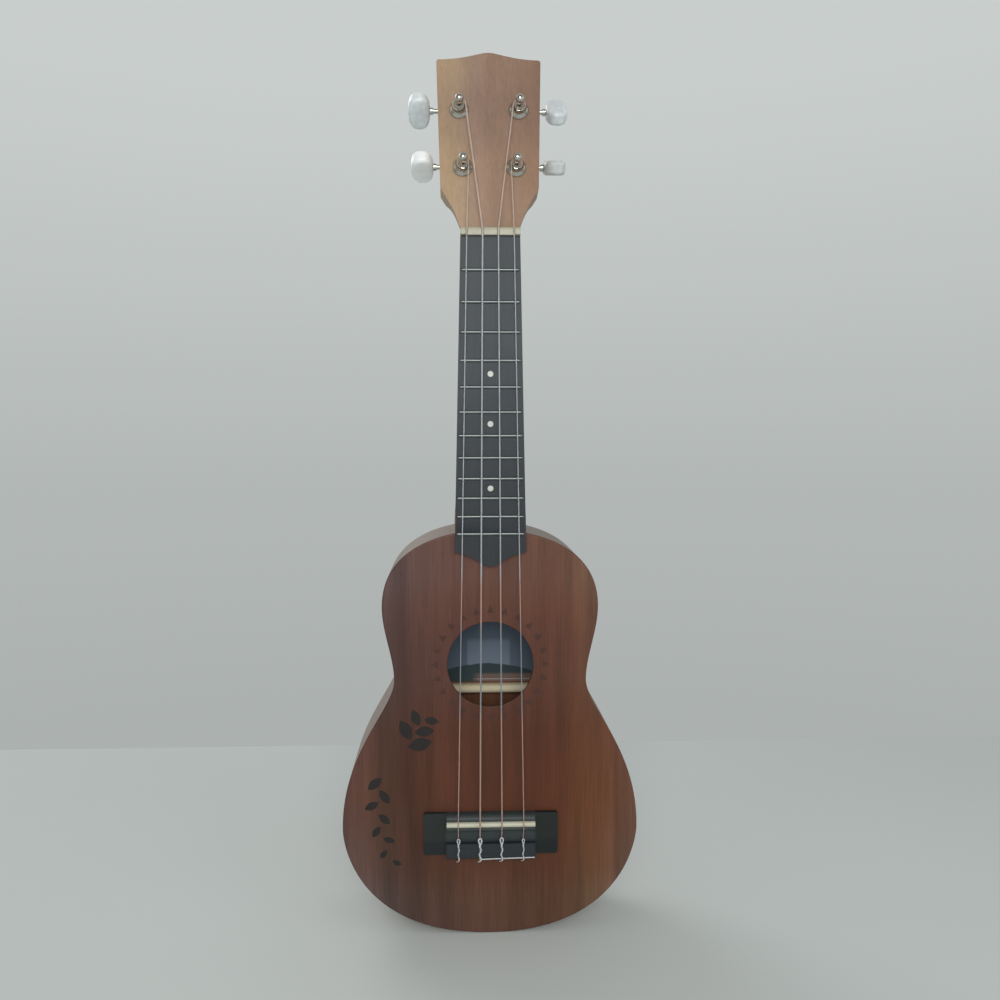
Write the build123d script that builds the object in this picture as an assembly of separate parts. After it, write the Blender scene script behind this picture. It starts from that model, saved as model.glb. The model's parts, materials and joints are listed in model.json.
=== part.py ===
from build123d import *
import math
import os

# Soprano ukulele with four open-geared tuning machines.
#
# Millimetres. Z = 0 is the front edge of the nut and +Z runs up the neck to the head.
# Y = 0 is the plane of the soundboard's face and of the neck's flat top: the strings lie on the
# -Y side and the flat back faces +Y. X = 0 is the centre line, with the treble side at +X.

cut_past = 1.0                  # a cutting shape runs this far past what it cuts
pick_margin = 0.05              # edges and corners are picked within this of their place

# ---- String scale --------------------------------------------------------------------------
scale_length = 346.0
fret_count = 12
saddle_compensation = 2.9
nut_height_over_frets = 0.8
string_names = ("g", "c", "e", "a")
string_diameters = {"g": 0.66, "c": 0.96, "e": 0.81, "a": 0.62}
nut_string_spread = 27.2
saddle_string_spread = 39.2

# ---- Body outline and plates ---------------------------------------------------------------
body_length = 250.0
body_depth = 55.0
body_joint_overlap = 2.0        # the body's edge stands this far above the last fret
upper_bout_width = 130.0
upper_bout_drop = 46.5          # widest points and waist, measured down from the body's edge
waist_width = 116.0
waist_drop = 91.0
lower_bout_width = 180.0
lower_bout_drop = 183.0
soundboard_thickness = 2.0
back_thickness = 2.0
side_thickness = 2.0
plate_edge_radius = 0.9
sound_hole_radius = 26.0
sound_hole_drop = 81.5

# How full each quarter of the outline is: the reach of the two curve handles, as a share of
# the quarter's width and height.
shoulder_fullness = (0.44, 0.78)
upper_flank_fullness = (0.34, 0.32)
lower_flank_fullness = (0.19, 0.53)
tail_fullness = (0.18, 0.89)

# ---- Inside the body -----------------------------------------------------------------------
lining_width = 5.0
lining_height = 6.0
neck_block_width = 48.0
neck_block_length = 18.0
tail_block_width = 44.0
tail_block_length = 11.0
brace_width = 5.5
brace_shoulder_share = 0.55     # of a brace's height, where its rounded top begins
brace_crown_fullness = 0.8
soundboard_brace_height = 6.0
back_brace_height = 7.0
soundboard_brace_offset = 37.0  # above and below the sound hole's centre
back_brace_drops = (48.0, 110.9, 180.0)
bridge_plate_size = (96.0, 1.6, 34.0)
label_width = 64.0
label_length = 54.0
label_thickness = 0.3
label_corner_radius = 4.0
label_drop = 80.0

# ---- Neck and fingerboard ------------------------------------------------------------------
nut_width = 34.5
last_fret_width = 42.0
fingerboard_thickness = 3.5
fingerboard_overhang = 10.8     # past the last fret, at the board's sides
fingerboard_point = 8.8         # how far the rounded point stands past the sides
fret_crown_width = 2.0
fret_crown_height = 1.0
fret_tang_width = 0.6
fret_tang_depth = 1.8
fret_end_inset = 0.9
dot_radius = 1.7
dot_depth = 1.2
dot_spaces = (5, 7, 10)
nut_length = 4.5
nut_groove_depth = 0.5
nut_groove_clearance = 0.14
nut_top_fall = 1.6              # the nut's rear top edge is this much lower
neck_depth_at_nut = 14.0
neck_depth_at_heel = 16.0
heel_depth = 50.0
heel_length = 34.0
heel_tip_length = 11.0
heel_tip_width = 19.0
heel_sink = 4.0                 # how far the heel is drawn into the body before it is cut
heel_section_angles = (25, 50, 70, 90)
heel_steep_angle = 60           # past this the sections may end in the body, not at the board
tongue_depth = 14.0             # depth of the neck's core where it runs into the body
neck_flat = 4.0                 # width of the nearly flat strip down the back of the neck
neck_fullness = 0.55            # reach of the flanks' curve handles, as a share of their spans

# ---- Head ----------------------------------------------------------------------------------
head_tilt = 12.0
head_thickness = 12.0
head_side_length = 105.9
head_peak_length = 110.5
head_top_width = 62.2
head_shoulder_width = 57.6
head_shoulder_length = 24.9
head_shoulder_radius = 3.5
head_corner_radius = 1.6
# Curve handles: shares of the flare's gain in half width and of its length, then shares of the
# half width at the top of the head.
head_flare_handles = ((0.126, 0.24), (0.29, 0.475))
head_crown_handles = (0.45, 0.18)
throat_length = 20.0
# Throat stations: share of its length, share of the flare's gain in half width, share of the
# way to the head's thickness, width of the flat back and how full the flanks are.
throat_stations = (
    (0.40, 0.28, 0.45, 14.0, 0.60),
    (0.72, 0.55, 0.85, 30.0, 0.68),
    (1.00, 1.00, 1.00, 48.0, 0.80),
)

# ---- Bridge and saddle ---------------------------------------------------------------------
bridge_width = 81.6
bridge_length = 25.6
bridge_wing_height = 3.2
bridge_block_width = 54.0
bridge_block_height = 6.5
bridge_block_step = 1.3         # the tie block stands this far behind the wings
bridge_channel_height = 2.6
bridge_front_lead = 5.4         # from the front edge to the saddle's centre
tie_block_length = 9.2
tie_hole_radius = 0.9
tie_hole_height = 3.9
saddle_width = 53.4
saddle_thickness = 3.2
saddle_height = 8.6
saddle_seat_height = 3.0
bridge_corner_radius = 1.5
bridge_nose = (1.4, 3.4)        # the front's rounding ends this far back, then the top begins
bridge_saddle_shelf = 2.0       # flat top left behind the saddle
bridge_channel_fall = 3.2       # length of the slope from that shelf to the channel
tie_block_chamfer = 0.6
tie_bend = 1.1                  # radius of a string where it turns round the tie block
nut_side_bend = 4.0             # where a string turns over the nut
hole_bend = 2.0                 # where it turns into the tie block
tie_hole_lead = 0.6             # that bend's corner stands this far before the block
string_stand_off = 0.05         # strings clear the wood and the saddle by this much
nut_break_inset = 0.9           # the strings bend this far inside the nut's rear face
string_wrap_angle = 250.0       # the end of a string lies round its post this far

# ---- Tuning machines -----------------------------------------------------------------------
lower_post_offset = 15.6
lower_post_station = 37.7
upper_post_offset = 17.6
upper_post_station = 73.9
gear_teeth = 16
gear_module = 0.8
gear_thickness = 3.6
gear_boss_radius = 4.2
worm_pitch_radius = 2.6
tooth_addendum = 0.65
tooth_dedendum = 0.85
tooth_pitch_share = 0.44        # of the pitch, so the two thicknesses leave some backlash
tooth_tip_share = 0.22
tooth_root_share = 0.66
worm_length = 8.0
shaft_radius = 1.4
shaft_tip_reach = 0.8           # the shaft's inner end stands this far past its lug
collar_radius = 2.1
collar_length = 1.2
ferrule_length = 1.8
running_clearance = 0.05
face_clearance = 0.1
tuner_plate_thickness = 1.0
tuner_plate_width = 12.6
tuner_plate_corner = 2.5
tuner_plate_reach = (13.2, 17.8)  # below and above the post's axis
plate_screw_stations = (-10.6, 15.2)
lug_thickness = 1.8
lug_radius = 2.6
worm_plate_gap = 0.35
post_radius = 3.0
post_waist_radius = 2.2
post_shoulder = 0.3             # chamfer between bearing length and waist
post_height = 14.5
post_cap_height = 4.2
post_cap_radius = 2.6
post_cap_flare = 1.0            # the waist widens into the cap over this length
post_string_hole_radius = 0.8
post_tenon_width = 3.8
bushing_flange_radius = 5.9
bushing_top_radius = 3.9
bushing_height = 4.2
bushing_rim = 0.6
bushing_sleeve_radius = 4.0
bushing_sleeve_length = 8.0
winding_turns = 2
winding_gap = 0.08
wood_screw_radius = 0.9
wood_screw_length = 7.0
wood_screw_head_radius = 2.0
wood_screw_head_height = 1.3
gear_screw_radius = 1.1
gear_screw_length = 4.2
gear_screw_head_radius = 2.7
gear_screw_head_height = 1.5
screw_slot_width = 0.6
screw_slot_depth = 0.7
button_start = 17.5             # from the post's axis to the button's inner end
button_reach = 13.5
button_width = 22.0
button_thickness = 8.4
button_edge_radius = 2.4
button_socket = 9.0
button_fullness = 0.68
button_angles = {"g": 9.0, "c": 22.0, "e": 54.0, "a": 28.0}

# ---- Derived places ------------------------------------------------------------------------
tilt = math.radians(head_tilt)
head_plane = Plane(
    origin=(0, 0, nut_length), x_dir=(1, 0, 0), z_dir=(0, -math.cos(tilt), math.sin(tilt))
)
back_inner_face = body_depth - back_thickness
nut_string_height = fingerboard_thickness + fret_crown_height + nut_height_over_frets
nut_break_z = nut_length - nut_break_inset
saddle_z = -(scale_length + saddle_compensation)
bridge_front_z = saddle_z + bridge_front_lead
bridge_rear_z = bridge_front_z - bridge_length
tie_block_rear_z = bridge_rear_z - bridge_block_step
tie_block_front_z = tie_block_rear_z + tie_block_length
gear_pitch_radius = gear_module * gear_teeth / 2
gear_tip_radius = gear_pitch_radius + tooth_addendum
gear_root_radius = gear_pitch_radius - tooth_dedendum
worm_tip_radius = worm_pitch_radius + tooth_addendum
worm_root_radius = worm_pitch_radius - tooth_dedendum
worm_lead = math.pi * gear_module
worm_offset = gear_pitch_radius + worm_pitch_radius
plate_back = -(head_thickness + tuner_plate_thickness)
worm_level = plate_back - worm_plate_gap - worm_tip_radius
gear_back = worm_level - gear_thickness / 2
lug_start = worm_length / 2 + face_clearance
tuner_places = {
    "g": (-lower_post_offset, lower_post_station),
    "c": (-upper_post_offset, upper_post_station),
    "e": (upper_post_offset, upper_post_station),
    "a": (lower_post_offset, lower_post_station),
}


def fret_z(number):
    """Height of a fret on the Z axis."""
    return -scale_length * (1 - 2 ** (-number / 12))


body_top_z = fret_z(fret_count) + body_joint_overlap
body_end_z = body_top_z - body_length
sound_hole_z = body_top_z - sound_hole_drop


def board_half_width(z):
    """Half the width of the fingerboard and of the neck under it."""
    share = min(z, 0) / fret_z(fret_count)
    return (nut_width + (last_fret_width - nut_width) * share) / 2


# ---- Small helpers -------------------------------------------------------------------------
def slab(sketch, front, back):
    """Extrude a sketch drawn in X and Z between two planes across Y."""
    plane = Plane(origin=(0, back, 0), x_dir=(1, 0, 0), z_dir=(0, -1, 0))
    return extrude(plane * sketch, amount=back - front)


def block(x_span, y_span, z_span):
    """A box between pairs of coordinates."""
    size = [high - low for low, high in (x_span, y_span, z_span)]
    middle = [(low + high) / 2 for low, high in (x_span, y_span, z_span)]
    return Pos(*middle) * Box(*size)


def side_profile(outline, width, centre=0.0):
    """Extrude a face drawn in Y and Z equally to both sides of a plane across X."""
    plane = Plane(origin=(centre - width / 2, 0, 0), x_dir=(0, 1, 0), z_dir=(1, 0, 0))
    return extrude(plane * outline, amount=width)


def polygon(points):
    """A flat face with straight edges."""
    return make_face(Polyline(*points, close=True))


def on_head(part):
    """Carry a part from the head's own frame (across, along, out of the face) into the row."""
    return head_plane.location * part


def at_tuner(name, part):
    """Carry a part drawn about a tuner's post, in the head's own frame, to that tuner."""
    across, along = tuner_places[name]
    return on_head(Pos(across, along, 0) * part)


def save(part, name):
    """Write one node."""
    export_step(part, f"parts/{name}.step")


# ---- Body ----------------------------------------------------------------------------------
def body_outline(inset=0.0):
    """The guitar-shaped outline of the body, moved inwards by an inset."""
    knots = [
        (0.0, body_top_z - inset),
        (upper_bout_width / 2 - inset, body_top_z - upper_bout_drop),
        (waist_width / 2 - inset, body_top_z - waist_drop),
        (lower_bout_width / 2 - inset, body_top_z - lower_bout_drop),
        (0.0, body_end_z + inset),
    ]
    top, upper, waist, lower, end = knots
    quarters = []
    reach_x, reach_z = shoulder_fullness
    rise = top[1] - upper[1]
    quarters.append((top, (upper[0] * reach_x, top[1]), (upper[0], upper[1] + rise * reach_z), upper))
    for start, stop, fullness in (
        (upper, waist, upper_flank_fullness),
        (waist, lower, lower_flank_fullness),
    ):
        fall = start[1] - stop[1]
        first = (start[0], start[1] - fall * fullness[0])
        second = (stop[0], stop[1] + fall * fullness[1])
        quarters.append((start, first, second, stop))
    reach_z, reach_x = tail_fullness
    fall = lower[1] - end[1]
    quarters.append((lower, (lower[0], lower[1] - fall * reach_z), (lower[0] * reach_x, end[1]), end))
    right = [Bezier(*quarter) for quarter in quarters]
    left = [Bezier(*[(-x, z) for x, z in reversed(quarter)]) for quarter in reversed(quarters)]
    return make_face(Wire(right + left))


def body_prism(inset, front, back):
    """The body's outline as a solid between two depths."""
    return slab(body_outline(inset), front, back)


def rounded_plate(front, back, round_front):
    """A soundboard or back with its outer edge eased on one side."""
    plate = body_prism(0.0, front, back)
    face_y = front if round_front else back
    edges = plate.edges().filter_by_position(Axis.Y, face_y - pick_margin, face_y + pick_margin)
    return fillet(edges, plate_edge_radius)


def make_soundboard():
    """Front plate with its round sound hole."""
    hole = slab(Pos(0, sound_hole_z) * Circle(sound_hole_radius), -1, soundboard_thickness + 1)
    return rounded_plate(0.0, soundboard_thickness, True) - hole


def make_sides():
    """The two bent sides, which meet on the centre line."""
    ring = body_prism(0.0, soundboard_thickness, back_inner_face)
    ring -= body_prism(side_thickness, soundboard_thickness, back_inner_face)
    reach = lower_bout_width
    depths = (0, body_depth)
    heights = (body_end_z - cut_past, body_top_z + cut_past)
    return (
        ring & block((-reach, 0), depths, heights),
        ring & block((0, reach), depths, heights),
    )


def make_neck_block():
    """Block behind the heel, from soundboard to back."""
    inside = body_prism(side_thickness, soundboard_thickness, back_inner_face)
    half = neck_block_width / 2
    low = body_top_z - side_thickness - neck_block_length
    return inside & block((-half, half), (0, body_depth), (low, body_top_z))


def make_tail_block():
    """Block at the bottom end, from soundboard to back."""
    inside = body_prism(side_thickness, soundboard_thickness, back_inner_face)
    half = tail_block_width / 2
    high = body_end_z + side_thickness + tail_block_length
    return inside & block((-half, half), (0, body_depth), (body_end_z, high))


def make_lining(front, back, blocks):
    """Glue strips round the inside of the sides, broken by the end blocks."""
    strip = body_prism(side_thickness, front, back)
    strip -= body_prism(side_thickness + lining_width, front, back)
    for end_block in blocks:
        strip -= end_block
    return strip


def make_brace(z, base, height, outwards):
    """A cross brace with a rounded top, trimmed to the linings; it stands on a plate at base."""
    sign = -1 if outwards else 1
    half = brace_width / 2
    shoulder = base + sign * height * brace_shoulder_share
    top = base + sign * height
    outline = Line((base, z - half), (shoulder, z - half))
    crest = half * brace_crown_fullness
    outline += Bezier((shoulder, z - half), (top, z - crest), (top, z + crest), (shoulder, z + half))
    outline += Polyline((shoulder, z + half), (base, z + half), (base, z - half))
    bar = side_profile(make_face(outline), lower_bout_width)
    low, high = sorted((base, top))
    return bar & body_prism(side_thickness + lining_width, low, high)


def make_soundboard_braces():
    """One brace above the sound hole and one below it."""
    offsets = (soundboard_brace_offset, -soundboard_brace_offset)
    return [
        make_brace(sound_hole_z + offset, soundboard_thickness, soundboard_brace_height, False)
        for offset in offsets
    ]


def make_back_braces():
    """Cross braces on the back."""
    return [
        make_brace(body_top_z - drop, back_inner_face, back_brace_height, True)
        for drop in back_brace_drops
    ]


def make_bridge_plate():
    """Hardwood patch under the bridge."""
    width, thickness, length = bridge_plate_size
    middle = (bridge_front_z + bridge_rear_z) / 2
    return block(
        (-width / 2, width / 2),
        (soundboard_thickness, soundboard_thickness + thickness),
        (middle - length / 2, middle + length / 2),
    )


def make_label():
    """Plain paper label glued inside the back, under the sound hole."""
    paper = Pos(0, body_top_z - label_drop) * RectangleRounded(
        label_width, label_length, label_corner_radius
    )
    return slab(paper, back_inner_face - label_thickness, back_inner_face)


# ---- Neck ----------------------------------------------------------------------------------
def neck_section(origin, depth_direction, half_width, depth, flat=neck_flat, fullness=neck_fullness):
    """Closed section of the neck: flat glue face, two curved flanks and a narrow flat back."""
    plane = Plane(origin=origin, x_dir=(1, 0, 0), z_dir=Vector(1, 0, 0).cross(Vector(*depth_direction)))
    half_flat = flat / 2
    side = (half_width, depth * fullness)
    back = (half_flat + (half_width - half_flat) * fullness, depth)
    edges = [
        Line((-half_width, 0), (half_width, 0)),
        Bezier((half_width, 0), side, back, (half_flat, depth)),
        Line((half_flat, depth), (-half_flat, depth)),
        Bezier((-half_flat, depth), (-back[0], depth), (-side[0], side[1]), (-half_width, 0)),
    ]
    return plane * make_face(Wire(edges))


def scarf_section():
    """The section that the neck and the head share, square to the head's length."""
    back_of_head = (0, math.cos(tilt), -math.sin(tilt))
    return neck_section((0, 0, nut_length), back_of_head, nut_width / 2, neck_depth_at_nut)


def make_neck():
    """Neck shaft and the heel that it swells into, cut to the curve of the body."""
    heel_start = body_top_z + heel_length
    heel_end = body_top_z - heel_sink
    backwards = (0, 1, 0)
    shaft_end = neck_section(
        (0, 0, heel_start), backwards, board_half_width(heel_start), neck_depth_at_heel
    )
    tongue_end = neck_section((0, 0, heel_end), backwards, board_half_width(heel_end), tongue_depth)
    shaft = loft([scarf_section(), shaft_end, tongue_end], ruled=True)

    # The heel's sections turn about a line behind the neck, from square across the shaft to
    # flat on the heel's tip, and run on into the space that the body takes.
    hinge = Vector(0, heel_depth, heel_start)
    sections = [shaft_end]
    for angle in heel_section_angles:
        turn = math.radians(angle)
        back = Vector(
            0,
            heel_depth - (heel_depth - neck_depth_at_heel) * math.cos(turn),
            heel_start - (heel_length - heel_tip_length) * math.sin(turn),
        )
        inwards = (hinge - back).normalized() if angle < 90 else Vector(0, 0, 1)
        to_face = (heel_end - back.Z) / -inwards.Z
        to_board = back.Y / inwards.Y if angle < 90 else to_face
        reach = min(to_face, to_board) if angle > heel_steep_angle else to_board
        start = back - inwards * reach
        board = board_half_width(max(start.Z, body_top_z))
        half_width = board + (heel_tip_width / 2 - board) * start.Y / heel_depth
        sections.append(neck_section(start, tuple(inwards), half_width, reach))
    side = last_fret_width
    behind_glue_face = block((-side, side), (0, heel_depth), (body_end_z, heel_start))
    heel = loft(sections) & behind_glue_face
    return shaft + heel - body_prism(0.0, -cut_past, body_depth)


def head_outline():
    """Outline of the head in its own plane, across and along."""
    half_nut = nut_width / 2
    half_shoulder = head_shoulder_width / 2
    half_top = head_top_width / 2
    flare_gain = half_shoulder - half_nut
    flare = [
        (half_nut, 0),
        *[(half_nut + flare_gain * gain, head_shoulder_length * rise) for gain, rise in head_flare_handles],
        (half_shoulder, head_shoulder_length),
    ]
    crown = [
        (half_top, head_side_length),
        (half_top * head_crown_handles[0], head_side_length),
        (half_top * head_crown_handles[1], head_peak_length),
        (0, head_peak_length),
    ]
    right = [Bezier(*flare), Line(flare[-1], crown[0]), Bezier(*crown)]
    mirrored_crown = [(-x, y) for x, y in reversed(crown)]
    mirrored_flare = [(-x, y) for x, y in reversed(flare)]
    left = [
        Bezier(*mirrored_crown),
        Line(mirrored_crown[-1], mirrored_flare[0]),
        Bezier(*mirrored_flare),
        Line(mirrored_flare[-1], flare[0]),
    ]
    face = make_face(Wire(right + left))
    shoulders = face.vertices().filter_by_position(
        Axis.Y, head_shoulder_length - pick_margin, head_shoulder_length + pick_margin
    )
    face = fillet(shoulders, head_shoulder_radius)
    corners = face.vertices().filter_by_position(
        Axis.Y, head_side_length - pick_margin, head_side_length + pick_margin
    )
    return fillet(corners, head_corner_radius)


def make_headstock():
    """Head plate; its back rises out of the round neck over the throat."""
    back_of_head = (0, math.cos(tilt), -math.sin(tilt))
    sections = [scarf_section()]
    for share, gain, rise, flat, fullness in throat_stations:
        origin = head_plane.from_local_coords((0, throat_length * share, 0))
        half_width = (nut_width + (head_shoulder_width - nut_width) * gain) / 2
        depth = neck_depth_at_nut + (head_thickness - neck_depth_at_nut) * rise
        sections.append(neck_section(origin, back_of_head, half_width, depth, flat, fullness))
    plate = Pos(0, throat_length + head_peak_length / 2, -head_thickness / 2) * Box(
        2 * head_top_width, head_peak_length, head_thickness
    )
    outline_depth = neck_depth_at_nut + cut_past
    outline = extrude(Pos(0, 0, -outline_depth) * head_outline(), outline_depth)
    head = (loft(sections) + on_head(plate)) & on_head(outline)
    for name in string_names:
        bore_length = head_thickness + 2 * cut_past
        bore = Pos(0, 0, -head_thickness / 2) * Cylinder(bushing_sleeve_radius, bore_length)
        head -= at_tuner(name, bore)
        for station in plate_screw_stations:
            head -= at_tuner(name, Pos(0, station, 0) * make_wood_screw())
    return head


def make_fingerboard():
    """Tapered board with a pointed end, slotted for the frets and bored for the dots."""
    side_z = fret_z(fret_count) - fingerboard_overhang
    half_end = board_half_width(side_z)
    half_nut = nut_width / 2
    tip_z = side_z - fingerboard_point
    curve = [
        (half_end, side_z),
        (half_end * 0.38, side_z - fingerboard_point * 0.28),
        (half_end * 0.20, tip_z),
        (0, tip_z),
    ]
    edges = [
        Line((half_nut, 0), curve[0]),
        Bezier(*curve),
        Bezier(*[(-x, z) for x, z in reversed(curve)]),
        Line((-half_end, side_z), (-half_nut, 0)),
        Line((-half_nut, 0), (half_nut, 0)),
    ]
    board = slab(make_face(Wire(edges)), -fingerboard_thickness, 0)
    front = -fingerboard_thickness
    for number in range(1, fret_count + 1):
        z = fret_z(number)
        half = fret_tang_width / 2
        length = board_half_width(z) - fret_end_inset
        board -= block((-length, length), (front - cut_past, front + fret_tang_depth), (z - half, z + half))
    return board - make_dots()


def make_frets():
    """Frets: a rounded crown on the board and a tang in its slot."""
    frets = []
    front = -fingerboard_thickness
    half_crown = fret_crown_width / 2
    half_tang = fret_tang_width / 2
    for number in range(1, fret_count + 1):
        z = fret_z(number)
        crown = ThreePointArc(
            (front, z - half_crown), (front - fret_crown_height, z), (front, z + half_crown)
        )
        tang = Polyline(
            (front, z + half_crown),
            (front, z + half_tang),
            (front + fret_tang_depth, z + half_tang),
            (front + fret_tang_depth, z - half_tang),
            (front, z - half_tang),
            (front, z - half_crown),
        )
        length = 2 * (board_half_width(z) - fret_end_inset)
        frets.append(side_profile(make_face(crown + tang), length))
    return frets


def make_dots():
    """Inlaid position dots, flush with the board."""
    front = -fingerboard_thickness
    dots = []
    for space in dot_spaces:
        middle = (fret_z(space - 1) + fret_z(space)) / 2
        dots.append(slab(Pos(0, middle) * Circle(dot_radius), front, front + dot_depth))
    return dots


def string_x(name, spread):
    """Sideways place of a string where the four are spread evenly over a width."""
    index = string_names.index(name)
    return spread * (index / (len(string_names) - 1) - 0.5)


def make_nut():
    """Nut with a rounded, falling top and one groove for each string."""
    top = -(nut_string_height + nut_groove_depth)
    rear = top + nut_top_fall
    profile = Line((0, 0), (top, 0))
    profile += Bezier((top, 0), (top, nut_length * 0.6), (top, nut_length), (rear, nut_length))
    profile += Polyline((rear, nut_length), (0, nut_length), (0, 0))
    nut = side_profile(make_face(profile), nut_width)
    floor = -nut_string_height
    fall = math.tan(tilt) * nut_length
    for name in string_names:
        groove = polygon(
            [
                (floor, -1),
                (floor, nut_break_z),
                (floor + fall, nut_break_z + nut_length),
                (floor - nut_length, nut_break_z + nut_length),
                (floor - nut_length, -1),
            ]
        )
        width = string_diameters[name] + nut_groove_clearance
        nut -= side_profile(groove, width, string_x(name, nut_string_spread))
    return nut


# ---- Bridge --------------------------------------------------------------------------------
def make_bridge():
    """Tie bridge: thin wings, a raised middle with the saddle's slot, and the bored tie block."""
    wing_top = -bridge_wing_height
    half = bridge_width / 2
    wings = block((-half, half), (wing_top, 0), (bridge_rear_z, bridge_front_z))
    wings = fillet(wings.edges().filter_by(Axis.Y), bridge_corner_radius)
    top = -bridge_block_height
    channel = -bridge_channel_height
    crest_end = saddle_z - saddle_thickness / 2 - bridge_saddle_shelf
    channel_start = crest_end - bridge_channel_fall
    nose_tip, nose_end = [bridge_front_z - length for length in bridge_nose]
    profile = Polyline((0, tie_block_rear_z), (0, bridge_front_z), (wing_top, bridge_front_z))
    profile += Bezier(
        (wing_top, bridge_front_z),
        ((wing_top + top) / 2, bridge_front_z),
        (top, nose_tip),
        (top, nose_end),
    )
    profile += Line((top, nose_end), (top, crest_end))
    profile += Bezier(
        (top, crest_end),
        (top, (crest_end + channel_start) / 2),
        (channel, (crest_end + channel_start) / 2),
        (channel, channel_start),
    )
    profile += Polyline(
        (channel, channel_start),
        (channel, tie_block_front_z),
        (top, tie_block_front_z),
        (top, tie_block_rear_z + tie_block_chamfer),
        (top + tie_block_chamfer, tie_block_rear_z),
        (0, tie_block_rear_z),
    )
    bridge = wings + side_profile(make_face(profile), bridge_block_width)
    slot_half = saddle_thickness / 2
    bridge -= block(
        (-saddle_width / 2, saddle_width / 2),
        (top - cut_past, -saddle_seat_height),
        (saddle_z - slot_half, saddle_z + slot_half),
    )
    for name in string_names:
        bore = Cylinder(tie_hole_radius, tie_block_length + 2 * cut_past)
        middle = (tie_block_front_z + tie_block_rear_z) / 2
        bridge -= Pos(string_x(name, saddle_string_spread), -tie_hole_height, middle) * bore
    return bridge


def make_saddle():
    """Saddle with a half-round crown."""
    half = saddle_thickness / 2
    crown_y = -saddle_height + half
    profile = Polyline(
        (crown_y, saddle_z - half),
        (-saddle_seat_height, saddle_z - half),
        (-saddle_seat_height, saddle_z + half),
        (crown_y, saddle_z + half),
    )
    profile += ThreePointArc(
        (crown_y, saddle_z + half), (-saddle_height, saddle_z), (crown_y, saddle_z - half)
    )
    return side_profile(make_face(profile), saddle_width)


# ---- Strings -------------------------------------------------------------------------------
def winding_radius(name):
    """Outer radius of the turns on a post."""
    return post_waist_radius + string_diameters[name]


def string_level(name):
    """Height of a string over the head's face, where it runs from the nut to its post."""
    y = -(nut_string_height + string_diameters[name] / 2)
    z = nut_break_z - nut_length
    return -y * math.cos(tilt) + z * math.sin(tilt)


def string_path(name):
    """Route of a string: round its post, over the nut and saddle, and tied at the bridge."""
    radius = string_diameters[name] / 2
    across, along = tuner_places[name]
    side = 1 if across < 0 else -1
    wrap_radius = winding_radius(name) + winding_gap + radius
    level = string_level(name)
    nut_x = string_x(name, nut_string_spread)
    tie_x = string_x(name, saddle_string_spread)
    nut_point = Vector(nut_x, -(nut_string_height + radius), nut_break_z)

    # The string leaves the wrap on the tangent that passes through the nut.
    nut_local = head_plane.to_local_coords(nut_point)
    run_x = nut_local.X - across
    run_y = nut_local.Y - along
    distance = math.hypot(run_x, run_y)
    heading = math.atan2(run_y, run_x)
    leave = heading + side * math.acos(wrap_radius / distance)
    wrap = math.radians(string_wrap_angle)

    def on_wrap(angle):
        return head_plane.from_local_coords(
            (across + wrap_radius * math.cos(angle), along + wrap_radius * math.sin(angle), level)
        )

    arc = ThreePointArc(
        on_wrap(leave + side * wrap), on_wrap(leave + side * wrap / 2), on_wrap(leave)
    )

    # The corner over the saddle stands off its crown by what the bend takes away.
    crown_radius = saddle_thickness / 2
    crown = Vector(tie_x, -saddle_height + crown_radius, saddle_z)
    hole_in = Vector(tie_x, -tie_hole_height, tie_block_front_z + tie_hole_lead)
    to_nut = (nut_point - crown).normalized()
    to_hole = (hole_in - crown).normalized()
    half_turn = math.radians(180 - to_nut.get_angle(to_hole)) / 2
    outwards = (to_nut + to_hole) * -1
    bend = crown_radius + radius + string_stand_off
    saddle_point = crown + outwards.normalized() * (bend / math.cos(half_turn))

    over = -(bridge_block_height + radius + string_stand_off)
    rear_z = tie_block_rear_z - radius - 5 * string_stand_off
    corners = [
        on_wrap(leave),
        nut_point,
        saddle_point,
        hole_in,
        Vector(tie_x, -tie_hole_height, rear_z),
        Vector(tie_x, over, rear_z),
        Vector(tie_x, over, tie_block_front_z),
    ]
    run = FilletPolyline(*corners, radius=[nut_side_bend, bend, hole_bend, tie_bend, tie_bend])
    return Wire([arc] + list(run.edges()))


def make_string(name):
    """One nylon string."""
    path = string_path(name)
    section = Plane(origin=path @ 0, z_dir=path % 0) * Circle(string_diameters[name] / 2)
    return sweep(section, path=path)


# ---- Tuning machines -----------------------------------------------------------------------
def make_wood_screw():
    """Round-headed wood screw in the back of the head, at the origin of a tuner's frame."""
    shank = Pos(0, 0, -head_thickness + wood_screw_length / 2) * Cylinder(
        wood_screw_radius, wood_screw_length
    )
    neck = Pos(0, 0, plate_back + tuner_plate_thickness / 2) * Cylinder(
        wood_screw_radius, tuner_plate_thickness
    )
    return shank + neck + dome(wood_screw_head_radius, wood_screw_head_height, plate_back)


def dome(radius, height, base):
    """A slotted round head that stands backwards off a plane."""
    profile = Line((0, base), (radius, base))
    profile += Bezier(
        (radius, base), (radius, base - height * 0.7), (radius * 0.6, base - height), (0, base - height)
    )
    profile += Line((0, base - height), (0, base))
    head = revolve(Plane.XZ * make_face(profile), Axis.Z)
    slot = Pos(0, 0, base - height) * Box(radius * 3, screw_slot_width, screw_slot_depth * 2)
    return head - slot


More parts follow.
